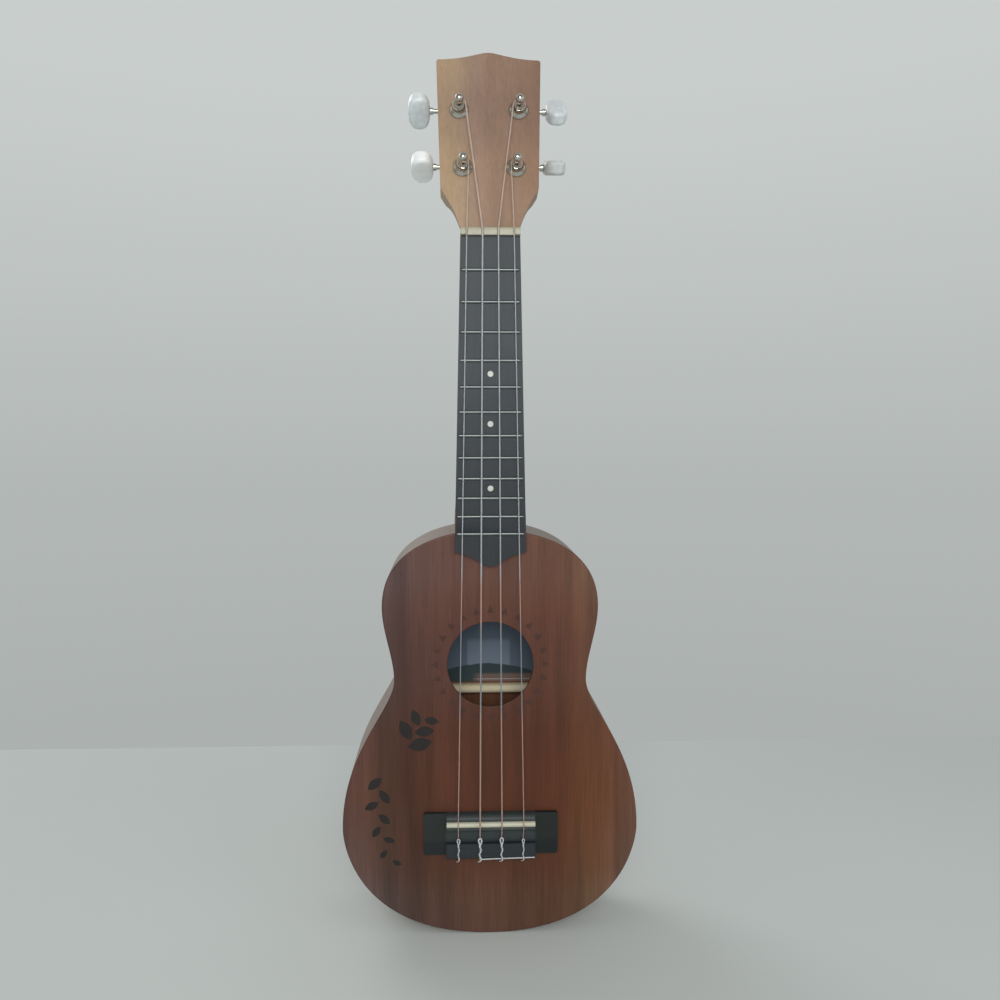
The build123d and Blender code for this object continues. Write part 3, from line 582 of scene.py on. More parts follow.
@dataclass(frozen=True)
class Finishes:
    """Every finish on the instrument."""

    top: Wood = Wood(
        "mahogany_soundboard",
        (
            # The stops at both rims are lighter and greyer: painted glare and reflection at the edges.
            (-92.0, "#6a5c6c"), (-73.0, "#6c585f"), (-62.0, "#5a494a"), (-51.0, "#584140"),
            (-40.0, "#5e443f"), (-18.0, "#664740"), (15.0, "#614238"), (37.0, "#674538"), (48.0, "#6b4b3c"),
            (59.0, "#6c5040"), (70.0, "#7a5b50"), (81.0, "#715c5c"), (92.0, "#746468"),
        ),
        # Painted light along the neck: brightest near the top of the soundboard, darkest and warmest across
        # the lower bout, and a little lighter at the lower edge.
        tone_and_light=(
            (-421.0, "#e6e6de"), (-397.0, "#e2dfcb"), (-380.0, "#ddc6a6"), (-335.0, "#dbb388"),
            (-295.0, "#d7b08e"), (-262.0, "#e0c8b6"), (-240.0, "#e4cabf"), (-219.0, "#f4dcca"),
            (-200.0, "#fff5ec"),
        ),
        gloss=0.25,
    )
    ribs: Wood = Wood(
        "mahogany_sides",
        # The bass side is lighter and greyer: painted light on that side.
        ((-92.0, "#8a766b"), (-50.0, "#826a5d"), (0.0, "#6c4b3c"), (15.0, "#604537"), (92.0, "#654a3c")),
        roughness=0.40,
        gloss=0.45,
    )
    back: Wood = Wood(
        "mahogany_back",
        ((-92.0, "#6a4536"), (-40.0, "#734c3a"), (0.0, "#68432f"), (45.0, "#754e3a"), (92.0, "#6a4534")),
        roughness=0.40,
    )
    neck: Wood = Wood(
        "mahogany_neck_and_head",
        (
            (-32.0, "#ae9276"), (-24.0, "#ac9275"), (-16.0, "#a78d74"), (-12.0, "#a28872"), (-7.0, "#9e8270"),
            (-2.0, "#9a7d69"), (3.0, "#967a65"), (18.0, "#957863"), (24.0, "#93745f"), (32.0, "#8e715e"),
        ),
        tone_and_light=((18.0, "#ffffff"), (45.0, "#fcfaf8"), (62.0, "#ebe8ec"), (85.0, "#e6e3ea"), (105.0, "#efeef0")),
        pore_colour="#6a4f3d",
        pore_share=0.15,
        band_mm=6.0,
        band_depth=0.04,
        fibre_depth=0.04,
        wander_mm=1.0,
        roughness=0.46,
        coat=0.05,
    )
    board: Wood = Wood(
        "stained_fingerboard",
        ((-22.0, "#40464b"), (0.0, "#42484d"), (22.0, "#3e4449")),
        tone_and_light=((-175.0, "#a8acb3"), (-60.0, "#dde4ec"), (-30.0, "#d4dbe3"), (0.0, "#cfd6de")),
        pore_colour="#2a2e30",
        pore_share=0.25,
        band_depth=0.03,
        fibre_depth=0.05,
        roughness=0.5,
        coat=0.05,
    )
    bridge: Wood = Wood(
        "stained_bridge",
        ((-368.0, "#232b30"), (-362.0, "#252d32"), (-360.0, "#32393b"), (-345.0, "#32393b")),
        grain=Way.ACROSS,
        tone_and_light=((-28.0, "#b0b7b0"), (-26.0, "#ffffff"), (26.0, "#ffffff"), (28.0, "#8c9c94")),
        tone_and_light_way=Way.ACROSS,
        pore_colour="#16191a",
        pore_share=0.25,
        band_depth=0.03,
        fibre_depth=0.05,
        roughness=0.5,
        coat=0.05,
    )
    spruce: Wood = Wood(
        "planed_spruce",
        ((-90.0, "#e8dcbc"), (0.0, "#f1e6c8"), (90.0, "#e6d9b8")),
        grain=Way.ACROSS,
        pore_colour="#b89d70",
        pore_share=0.2,
        band_mm=2.2,
        band_depth=0.04,
        fibre_depth=0.05,
        roughness=0.7,
        coat=0.0,
    )
    ink: Plastic = Plastic("burnt_print", "#221e1d", "#1d1918", 0.8)
    scorch: Plastic = Plastic("scorched_teeth", "#46271e", "#3f2119", 0.7)
    cream: Plastic = Plastic("cream_moulding", "#c4c3b1", "#bab8a4", 0.38)
    # The nut's cream is a darker copy of the saddle's: painted shade against the stronger light on the nut.
    bone: Plastic = Plastic("cream_nut", "#b1ad9b", "#a8a490", 0.42)
    # Each button has its own copy of the celluloid, painted light and shade: brightest on the lower bass
    # button and darkest on the lower treble one.
    pearl_g: Pearloid = Pearloid("pearl_celluloid_g", "#fbfdff", "#e6ecf0")
    pearl_c: Pearloid = Pearloid("pearl_celluloid_c", "#e6ebee", "#cdd4d8")
    pearl_e: Pearloid = Pearloid("pearl_celluloid_e", "#dbe0e3", "#c4cbcf")
    pearl_a: Pearloid = Pearloid("pearl_celluloid_a", "#ccd1d1", "#b4baba")
    dots: Pearloid = Pearloid("pearl_dots", "#dfe0da", "#bcbdb6", 1.6, depth_mm=0.4)
    nylon: Nylon = Nylon(
        "clear_nylon",
        "#e6e2de",
        0.5,
        # Painted see-through: pinkish over the soundboard, bluish over the sound hole and the fingerboard,
        # warm over the head.
        (
            (-345.0, "#e6c9bf"), (-285.0, "#e8cabf"), (-276.0, "#bcc6d4"), (-231.0, "#bcc6d4"),
            (-223.0, "#eccbc0"), (-204.0, "#eccbc0"), (-196.0, "#e9f3fd"), (-6.0, "#e9f3fd"),
            (6.0, "#ffeee4"), (80.0, "#ffeee4"),
        ),
    )
    knots: Nylon = Nylon("knotted_nylon", "#cdd2d6", 0.2)
    turns: Nylon = Nylon("wound_nylon", "#c4c0b6", 0.5)
    paper: Paper = Paper("label_paper", "#5f6f82", "#78889c", "#33454a", "#7a6660", "#c9c4c0")
    chrome: Metal = Metal("polished_chrome", "#c6c4bd", 0.12)
    steel: Metal = Metal("drawn_nickel_silver", "#7a7f80", 0.34)
    gear: Metal = Metal("cut_nickel_gear", "#b9b7ae", 0.30)


class Palette:
    """Builds each finish once and hands it out by name."""

    def __init__(self, finishes: Finishes) -> None:
        """Keep the finishes to build from."""
        self.finishes = finishes
        self.made: dict[str, bpy.types.Material] = {}

    def get(self, name: str) -> bpy.types.Material:
        """Give one finish as a material.

        Args:
            name: The finish's field name in Finishes.

        Returns:
            The material, built on its first use.
        """
        if name not in self.made:
            self.made[name] = getattr(self.finishes, name).build()
        return self.made[name]


# ---- Meshes and pieces ---------------------------------------------------------------------
def link_object(name: str, data: Any) -> bpy.types.Object:
    """Put a mesh, curve, camera or light in the scene as an object at the origin."""
    piece = bpy.data.objects.new(name, data)
    bpy.context.scene.collection.objects.link(piece)
    return piece


def evaluated_mesh(carrier: bpy.types.Object) -> bpy.types.Mesh:
    """Turn what an object's curve or modifiers make into a plain mesh, and remove the object.

    Args:
        carrier: The object that carries the curve or the modifiers.

    Returns:
        The plain mesh.
    """
    graph = bpy.context.evaluated_depsgraph_get()
    mesh = bpy.data.meshes.new_from_object(carrier.evaluated_get(graph))
    carrier.modifiers.clear()
    bpy.data.objects.remove(carrier)
    return mesh


def surface(
    mesh: bpy.types.Mesh, crease_degrees: float, finish: bpy.types.Material | None = None, work: Any = None
) -> bpy.types.Mesh:
    """Shade a mesh smoothly up to its creases, and give it its finish.

    Args:
        mesh: The mesh.
        crease_degrees: The angle from which an edge stays sharp.
        finish: Its material, unless it has one already.
        work: The BMesh that is written into it first and then freed, if there is one.

    Returns:
        The same mesh.
    """
    if work is not None:
        work.to_mesh(mesh)
        work.free()
    mesh.polygons.foreach_set("use_smooth", [True] * len(mesh.polygons))
    mesh.set_sharp_from_angle(angle=math.radians(crease_degrees))
    if finish:
        mesh.materials.clear()
        mesh.materials.append(finish)
    return mesh


def seat(piece: bpy.types.Object, slot: Slot, *nodes: str, body: str = "instrument") -> None:
    """Attach a finished piece to its body, and hide the solids that it stands for.

    Args:
        piece: The finished object.
        slot: The record's material slot; not used.
        nodes: Names of the solids that it replaces.
        body: The body that it moves with.
    """
    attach(piece, body)
    if nodes:
        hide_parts(*nodes)
    LOG.info("%s rides on %s and stands for %s", piece.name, body, ", ".join(nodes) or "nothing")


def tube(name: str, points: Sequence[Vector], radius: float, finish: bpy.types.Material) -> bpy.types.Object:
    """Make a closed round tube along a smooth line.

    Args:
        name: The piece's name.
        points: The line's control points, in metres.
        radius: The tube's radius, in metres.
        finish: Its material.

    Returns:
        The tube as a mesh object.
    """
    curve = bpy.data.curves.new(name, "CURVE")
    curve.dimensions = "3D"
    spline = curve.splines.new("NURBS")
    spline.points.add(len(points) - 1)
    for control, point in zip(spline.points, points):
        control.co = (*point, 1.0)
    spline.order_u = 4
    spline.use_endpoint_u = True
    curve.resolution_u = 3
    curve.bevel_depth = radius
    curve.bevel_resolution = 2
    curve.use_fill_caps = True
    mesh = evaluated_mesh(link_object(name + "_line", curve))
    return link_object(name, surface(mesh, 50.0, finish))


class Recipe:
    """A Geometry Nodes tree with named inputs, which is baked to a plain mesh."""

    KINDS = {float: "NodeSocketFloat", int: "NodeSocketInt", tuple: "NodeSocketVector"}

    def __init__(self, name: str, sizes: dict[str, Any]) -> None:
        """Start a tree.

        Args:
            name: The tree's name.
            sizes: Input name to its usual value.
        """
        self.tree = bpy.data.node_groups.new(name, "GeometryNodeTree")
        self.ids: dict[str, str] = {}
        for label, value in sizes.items():
            kind = self.KINDS[type(value)]
            socket = self.tree.interface.new_socket(label, in_out="INPUT", socket_type=kind)
            socket.default_value = value
            self.ids[label] = socket.identifier
        self.tree.interface.new_socket("Geometry", in_out="OUTPUT", socket_type="NodeSocketGeometry")
        self.given = self.tree.nodes.new("NodeGroupInput")

    def __getitem__(self, label: str) -> Number:
        """Give the value of a named input."""
        return Number(self.tree, self.given.outputs[label])

    def add(self, kind: str, inputs: Inputs | None = None, **settings: Any) -> Any:
        """Add one node to the tree, as add_node does."""
        return add_node(self.tree, kind, inputs, **settings)

    def place(self) -> list[Number]:
        """Give the coordinates of each point."""
        split = self.add("ShaderNodeSeparateXYZ", {0: self.add("GeometryNodeInputPosition")})
        return [Number(self.tree, part) for part in split.outputs]

    def index(self) -> Number:
        """Give the number of each point, from 0."""
        return Number(self.tree, self.add("GeometryNodeInputIndex").outputs[0])

    def finish(self, geometry: Any, finish: bpy.types.Material) -> None:
        """End the tree in Realize Instances and Set Material.

        Args:
            geometry: The node that ends in the finished geometry.
            finish: The material that it gets.
        """
        real = self.add("GeometryNodeRealizeInstances", {0: geometry})
        dressed = self.add("GeometryNodeSetMaterial", {"Geometry": real, "Material": finish})
        self.add("NodeGroupOutput", {0: dressed})

    def bake(self, name: str, sizes: dict[str, Any] | None = None) -> bpy.types.Object:
        """Run the tree and keep the result as a plain mesh object.

        Args:
            name: The piece's name.
            sizes: Input name to value, for the inputs that leave their usual value.

        Returns:
            The piece.
        """
        carrier = link_object(name + "_recipe", bpy.data.meshes.new(name + "_recipe"))
        modifier = carrier.modifiers.new("recipe", "NODES")
        modifier.node_group = self.tree
        for label, value in (sizes or {}).items():
            modifier[self.ids[label]] = value
        mesh = evaluated_mesh(carrier)
        work = bmesh.new()
        work.from_mesh(mesh)
        bmesh.ops.remove_doubles(work, verts=work.verts, dist=MERGE_BAKED * MM)
        bmesh.ops.recalc_face_normals(work, faces=work.faces)
        return link_object(name, surface(mesh, 35.0, work=work))


@dataclass
class SubAssembly:
    """What the instrument's sub-assemblies share."""

    palette: Palette

    def smooth(self, node: str, finish: str, slot: Slot, crease_degrees: float = 32.0) -> None:
        """Make a smoothly shaded piece from a solid's mesh, and let it stand for the solid.

        Args:
            node: The solid's name.
            finish: The name of the finish that it gets.
            slot: The record's material slot.
            crease_degrees: The angle from which an edge stays sharp.
        """
        mesh = frame["nodes"][node].data.copy()
        work = bmesh.new()
        work.from_mesh(mesh)
        bmesh.ops.remove_doubles(work, verts=work.verts, dist=MERGE_SOLID * MM)
        bmesh.ops.recalc_face_normals(work, faces=work.faces)
        # Joined flats keep slivers from pulling on the shading.
        flat = math.radians(FLAT_DEGREES)
        bmesh.ops.dissolve_limit(work, angle_limit=flat, verts=work.verts, edges=work.edges)
        surface(mesh, crease_degrees, self.palette.get(finish), work)
        carrier = link_object(node + "_carrier", mesh)
        # Large faces lead the shading, so that flats stay flat beside their roundings.
        modifier = carrier.modifiers.new("weights", "WEIGHTED_NORMAL")
        modifier.weight = 100
        modifier.keep_sharp = True
        bodies = frame["record"]["behaviour"]["bodies"]
        body = next(body for body, members in bodies.items() if node in members)
        seat(link_object(f"{node}_finished", evaluated_mesh(carrier)), slot, node, body=body)

    def dress(self, node: str, finish: str) -> None:
        """Give a solid that keeps its own mesh its finish."""
        materials = frame["nodes"][node].data.materials
        materials.clear()
        materials.append(self.palette.get(finish))
        LOG.info("%s keeps its own mesh", node)


# ---- Body ----------------------------------------------------------------------------------
@dataclass
class Body(SubAssembly):
    """Hollow body: soundboard, back and bent sides, with the woodwork inside."""

    top_z: float = -171.0
    length: float = 250.0
    depth: float = 55.0
    upper_bout: tuple[float, float] = (130.0, 46.5)  # width, and how far down it lies
    waist: tuple[float, float] = (116.0, 91.0)
    lower_bout: tuple[float, float] = (180.0, 183.0)
    # How far each quarter of the outline runs straight on at its upper and its lower end.
    fullness: tuple[tuple[float, float], ...] = ((0.44, 0.78), (0.34, 0.32), (0.19, 0.53), (0.18, 0.89))
    plate: float = 2.0
    side: float = 2.0
    edge_radius: float = 0.9
    hole_radius: float = 26.0
    hole_ease: float = 0.35
    lip: float = 0.4  # the narrow flat beside each eased edge
    edge_steps: int = 6
    hole_ease_steps: int = 4
    crease_degrees: float = 40.0
    steps: int = 56
    inner_nodes: tuple[str, ...] = (
        "neck_block", "tail_block", "top_linings", "back_linings",
        "soundboard_braces", "back_braces", "bridge_plate",
    )

    def half_outline(self, inset: float) -> Points:
        """Draw the treble half of the outline, from the middle of the top down to the end.

        Args:
            inset: How far the outline is drawn in.

        Returns:
            Points across and up.
        """
        bouts = (self.upper_bout, self.waist, self.lower_bout)
        stations = [
            (0.0, self.top_z - inset),
            *((width / 2 - inset, self.top_z - down) for width, down in bouts),
            (0.0, self.top_z - self.length + inset),
        ]
        points = stations[:1]
        for start, stop, (leave, arrive) in zip(stations, stations[1:], self.fullness):
            fall = start[1] - stop[1]
            # The line leaves the top and reaches the end sideways, and runs up and down elsewhere.
            first = (start[0], start[1] - fall * leave) if start[0] else (stop[0] * leave, start[1])
            second = (stop[0], stop[1] + fall * arrive) if stop[0] else (start[0] * arrive, stop[1])
            for step in range(1, self.steps + 1):
                t = step / self.steps
                u = 1 - t
                weights = (u * u * u, 3 * u * u * t, 3 * u * t * t, t * t * t)
                x, z = (sum(w * p for w, p in zip(weights, line)) for line in zip(start, first, second, stop))
                points.append((x, z))
        return points

    def outline(self, inset: float) -> Points:
        """Draw the whole outline."""
        right = self.half_outline(inset)
        return right + [(-x, z) for x, z in reversed(right[1:-1])]

    def hole(self, inset: float, count: int = 96) -> Points:
        """Draw the sound hole, wider by an inset."""
        radius = self.hole_radius + inset
        turns = [2 * math.pi / count * i for i in range(count)]
        return [(radius * math.sin(turn), HOLE_Z + radius * math.cos(turn)) for turn in turns]

    def walls(
        self,
        work: bmesh.types.BMesh,
        shape: Callable[[float], Points],
        faces: Sequence[float],
        ease: float,
        steps: int,
    ) -> list[list[Any]]:
        """Add a plate's edge wall: a lip, the eased corner, the straight part and the inner lip.

        Args:
            work: The mesh that is being built.
            shape: The edge's outline for an inset.
            faces: Depths of the outer and the inner face.
            ease: Radius of the eased corner.
            steps: Facets round that corner.

        Returns:
            The vertices of the first and the last ring.
        """
        face, inner = faces
        inwards = math.copysign(1.0, inner - face)
        rings = [(ease + self.lip, face)]
        for step in range(steps + 1):
            turn = math.pi / 2 * step / steps
            rings.append((ease * (1 - math.sin(turn)), face + inwards * ease * (1 - math.cos(turn))))
        rings += [(0.0, inner), (self.lip, inner)]
        made = [
            [work.verts.new((x * MM, y * MM, z * MM)) for x, z in shape(inset)] for inset, y in rings
        ]
        for first, second in zip(made, made[1:]):
            for i, vertex in enumerate(first):
                work.faces.new((first[i - 1], vertex, second[i], second[i - 1]))
        return [made[0], made[-1]]

    def plate_mesh(self, name: str, faces: Sequence[float], finish: str, hole: bool) -> bpy.types.Mesh:
        """Build a plate with an eased edge, and with the sound hole if asked.

        Args:
            name: The mesh's name.
            faces: Depths of the outer and the inner face.
            finish: The name of its finish.
            hole: Whether the plate has the sound hole.

        Returns:
            The plate's mesh.
        """
        work = bmesh.new()
        caps = self.walls(work, self.outline, faces, self.edge_radius, self.edge_steps)
        if hole:
            inner = self.walls(work, self.hole, faces, self.hole_ease, self.hole_ease_steps)
            caps = [around + within for around, within in zip(caps, inner)]
        for ring in caps:
            members = set(ring)
            edges = [edge for edge in work.edges if members.issuperset(edge.verts)]
            bmesh.ops.triangle_fill(work, edges=edges, use_beauty=True)
        bmesh.ops.recalc_face_normals(work, faces=work.faces)
        return surface(bpy.data.meshes.new(name), self.crease_degrees, self.palette.get(finish), work)

    def rib_mesh(self, name: str, sign: int) -> bpy.types.Mesh:
        """Build one bent side.

        Args:
            name: The mesh's name.
            sign: 1 for the treble side and -1 for the bass side.

        Returns:
            The side's mesh.
        """
        work = bmesh.new()
        front, back = self.plate, self.depth - self.plate
        lines = [
            [work.verts.new((sign * x * MM, y * MM, z * MM)) for x, z in self.half_outline(inset)]
            for inset, y in ((0.0, front), (0.0, back), (self.side, back), (self.side, front))
        ]
        for first, second in zip(lines, lines[1:] + lines[:1]):
            for i in range(len(first) - 1):
                work.faces.new((first[i], first[i + 1], second[i + 1], second[i]))
        for end in (0, -1):
            work.faces.new([line[end] for line in lines])
        bmesh.ops.recalc_face_normals(work, faces=work.faces)
        return surface(bpy.data.meshes.new(name), self.crease_degrees, self.palette.get("ribs"), work)

    def build(self) -> None:
        """Build and dress the body."""
        shells = {
            "soundboard": self.plate_mesh("soundboard_plate", (0.0, self.plate), "top", True),
            "back_plate": self.plate_mesh("back_board", (self.depth, self.depth - self.plate), "back", False),
            "bass_side": self.rib_mesh("bass_rib", -1),
            "treble_side": self.rib_mesh("treble_rib", 1),
        }
        for node, mesh in shells.items():
            seat(link_object(mesh.name, mesh), Slot.MAHOGANY, node)
        for node in self.inner_nodes:
            self.dress(node, "spruce")
        self.dress("label", "paper")


# ---- Printed ornament ----------------------------------------------------------------------
@dataclass(frozen=True)
class Spray:
    """Sizes of one spray of leaves, whose stem is drawn across and up the soundboard."""

    name: str
    start: tuple[float, float]
    bow: tuple[float, float]
    end: tuple[float, float]
    leaves: int
    leaf_length: float
    leaf_width: float
    seed: int

    def sizes(self) -> dict[str, Any]:
        """Give the sizes as the recipe's inputs.

        Returns:
            Input name to value, in metres.
        """
        stem = {"Start": self.start, "Bow": self.bow, "End": self.end}
        return {
            **{label: (x * MM, z * MM, 0.0) for label, (x, z) in stem.items()},
            "Leaves": self.leaves,
            "Leaf Length": self.leaf_length * MM,
            "Leaf Width": self.leaf_width * MM,
            "Seed": self.seed,
        }


@dataclass
class Ornament(SubAssembly):
    """Burnt-in ornament on the soundboard: a toothed ring and two sprays of plain leaves."""

    ring_radius: float = 33.0
    teeth: int = 24
    tooth_length: float = 4.8
    tooth_width: float = 4.2
    ink_depth: float = 0.05
    lean: tuple[float, float] = (0.55, 1.05)  # a leaf's least and greatest lean, in radians
    taper: float = 0.5
    sprays: tuple[Spray, ...] = (
        Spray("leaf_spray_upper", (-50.0, -303.0), (-46.0, -292.0), (-40.0, -286.0), 5, 15.0, 8.2, 3),
        Spray("leaf_spray_lower", (-66.0, -322.0), (-72.0, -350.0), (-60.0, -374.0), 8, 11.0, 5.6, 8),
    )

    def tooth_ring(self) -> Recipe:
        """Write the recipe for a ring of three-cornered teeth that point away from the centre.

        Returns:
            The recipe.
        """
        recipe = Recipe(
            "ring_of_teeth",
            {
                "Ring Radius": self.ring_radius * MM,
                "Teeth": self.teeth,
                "Tooth Length": self.tooth_length * MM,
                "Tooth Width": self.tooth_width * MM,
                "Ink Depth": self.ink_depth * MM,
                "Centre": (0.0, -self.ink_depth * MM / 2, HOLE_Z * MM),
            },
        )
        spacing = {"Vertices": recipe["Teeth"], "Radius": recipe["Ring Radius"]}
        ring = recipe.add("GeometryNodeMeshCircle", spacing)
        sizes = {"Vertices": 3, "Radius": 1.0, "Depth": recipe["Ink Depth"]}
        blank = recipe.add("GeometryNodeMeshCylinder", sizes)
        # The blank's corners lie at a radius of 1: 1.5 long and 1.732 wide.
        length, width = recipe["Tooth Length"] / 1.5, recipe["Tooth Width"] / 1.732
        size = recipe.add("ShaderNodeCombineXYZ", {0: length, 1: width, 2: 1.0})
        tooth = recipe.add("GeometryNodeTransform", {"Geometry": blank, "Scale": size})
        spot = recipe.add("GeometryNodeInputPosition")
        turn = recipe.add("FunctionNodeAlignRotationToVector", {"Vector": spot}, axis="X")
        spread = {"Points": ring, "Instance": tooth, "Rotation": turn}
        teeth = recipe.add("GeometryNodeInstanceOnPoints", spread)
        standing = {"Geometry": teeth, "Rotation": UPRIGHT, "Translation": recipe["Centre"]}
        recipe.finish(recipe.add("GeometryNodeTransform", standing), self.palette.get("scorch"))
        return recipe

    def leaf_spray(self) -> Recipe:
        """Write the recipe for plain leaves that stand to both sides of a bowed stem.

        Returns:
            The recipe.
        """
        usual = {**self.sprays[0].sizes(), "Taper": self.taper, "Ink Depth": self.ink_depth * MM}
        recipe = Recipe("spray_of_leaves", usual)
        bends = {"Start": recipe["Start"], "Middle": recipe["Bow"], "End": recipe["End"]}
        stem = recipe.add("GeometryNodeCurveQuadraticBezier", {"Resolution": 48, **bends})
        spacing = {"Curve": stem, "Count": recipe["Leaves"]}
        spots = recipe.add("GeometryNodeCurveToPoints", spacing, mode="COUNT")
        # A disc whose sides are drawn in towards both tips becomes a leaf.
        sizes = {"Vertices": 28, "Radius": 1.0, "Depth": recipe["Ink Depth"]}
        disc = recipe.add("GeometryNodeMeshCylinder", sizes)
        run, aside, level = recipe.place()
        length = (run + 1.0) * (recipe["Leaf Length"] * 0.5)
        width = aside.using("SIGN") * (1.0 - run * run) * (recipe["Leaf Width"] * 0.5)
        drawn = recipe.add("ShaderNodeCombineXYZ", {0: length, 1: width, 2: level})
        leaf = recipe.add("GeometryNodeSetPosition", {"Geometry": disc, "Position": drawn})
        # Leaves alternate from side to side of the stem and grow smaller along it.
        index = recipe.index()
        side = index.using("MODULO", 2.0) * 2.0 - 1.0
        range_of_lean = {2: self.lean[0], 3: self.lean[1], "Seed": recipe["Seed"]}
        chance = recipe.add("FunctionNodeRandomValue", range_of_lean, data_type="FLOAT")
        lean = recipe.add("ShaderNodeCombineXYZ", {2: side * chance.outputs[1]})
        turned = recipe.add("FunctionNodeEulerToRotation", {0: lean})
        heading = {"Vector": spots.outputs["Tangent"]}
        along = recipe.add("FunctionNodeAlignRotationToVector", heading, axis="X")
        turn = recipe.add("FunctionNodeRotateRotation", {0: along, 1: turned}, rotation_space="LOCAL")
        size = 1.0 - index / recipe["Leaves"] * recipe["Taper"]
        spread = {"Points": spots, "Instance": leaf, "Rotation": turn, "Scale": size}
        leaves = recipe.add("GeometryNodeInstanceOnPoints", spread)
        sunk = (0.0, -self.ink_depth * MM / 2, 0.0)
        standing = {"Geometry": leaves, "Rotation": UPRIGHT, "Translation": sunk}
        recipe.finish(recipe.add("GeometryNodeTransform", standing), self.palette.get("ink"))
        return recipe

    def build(self) -> None:
        """Build the ring and the sprays."""
        seat(self.tooth_ring().bake("sound_hole_teeth"), Slot.MAHOGANY)
        recipe = self.leaf_spray()
        for spray in self.sprays:
            seat(recipe.bake(spray.name, spray.sizes()), Slot.MAHOGANY)


# ---- Neck ----------------------------------------------------------------------------------
@dataclass
class Neck(SubAssembly):
    """Neck, head, fingerboard with its frets and dots, and nut."""

    scale: float = 346.0
    frets: int = 12
    nut_width: float = 34.5
    width_at_last_fret: float = 42.0
    board_face: float = -3.5
    crown_width: float = 2.0
    crown_height: float = 1.0
    end_inset: float = 0.9
    end_roundness: float = 0.05  # power that pushes a ball's points out to a bar's ends
    side_roundness: float = 0.3  # power that pushes them out to the bar's sides
    sunk_share: float = 0.3  # how deep the bar's flat foot lies, in crown heights

    def fret_recipe(self) -> Recipe:
        """Write the recipe for frets spaced by the twelfth root of two, as wide as the board.

        Returns:
            The recipe.
        """
        recipe = Recipe(
            "frets_by_rule",
            {
                "Scale Length": self.scale * MM,
                "Frets": self.frets,
                "Nut Width": self.nut_width * MM,
                "Last Width": self.width_at_last_fret * MM,
                "End Inset": self.end_inset * MM,
                "Board Face": self.board_face * MM,
                "Crown Width": self.crown_width * MM,
                "Crown Height": self.crown_height * MM,
            },
        )
        points = recipe.add("GeometryNodePoints", {"Count": recipe["Frets"]})
        share = 1.0 - 2.0 ** ((recipe.index() + 1.0) / -12.0)
        down = share * (recipe["Scale Length"] * -1.0)
        spot = recipe.add("ShaderNodeCombineXYZ", {1: recipe["Board Face"], 2: down})
        spaced = recipe.add("GeometryNodeSetPosition", {"Geometry": points, "Position": spot})
        # The board reaches its last width at half the scale.
        width = recipe["Nut Width"] + share * 2.0 * (recipe["Last Width"] - recipe["Nut Width"])
        size = recipe.add("ShaderNodeCombineXYZ", {0: width - recipe["End Inset"] * 2.0, 1: 1.0, 2: 1.0})
        # One fret is a ball pushed out to a half-round bar of unit width with domed ends.
        ball = recipe.add("GeometryNodeMeshUVSphere", {"Segments": 16, "Rings": 24, "Radius": 1.0})
        laid = recipe.add("GeometryNodeTransform", {"Geometry": ball, "Rotation": (0.0, math.pi / 2, 0.0)})
        x, y, z = recipe.place()
        off_axis = (y * y + z * z).using("SQRT").using("MAXIMUM", 0.000001)
        swell = off_axis**self.side_roundness / off_axis
        bar = recipe.add(
            "ShaderNodeCombineXYZ",
            {
                0: x.using("SIGN") * x.using("ABSOLUTE") ** self.end_roundness * 0.5,
                1: (y * swell).using("MINIMUM", self.sunk_share) * recipe["Crown Height"],
                2: z * swell * (recipe["Crown Width"] * 0.5),
            },
        )
        wire = recipe.add("GeometryNodeSetPosition", {"Geometry": laid, "Position": bar})
        spread = {"Points": spaced, "Instance": wire, "Scale": size}
        recipe.finish(recipe.add("GeometryNodeInstanceOnPoints", spread), self.palette.get("steel"))
        return recipe

    def build(self) -> None:
        """Build and dress the neck."""
        self.smooth("neck", "neck", Slot.NECK_WOOD, 40.0)
        self.smooth("headstock", "neck", Slot.NECK_WOOD, 40.0)
        self.smooth("fingerboard", "board", Slot.ROSEWOOD)
        self.smooth("position_dots", "dots", Slot.PEARL)
        # The nut takes the darker copy of the cream, which is painted shade.
        self.smooth("nut", "bone", Slot.CREAM)
        seat(self.fret_recipe().bake("fret_wires"), Slot.FRET_WIRE, "frets")


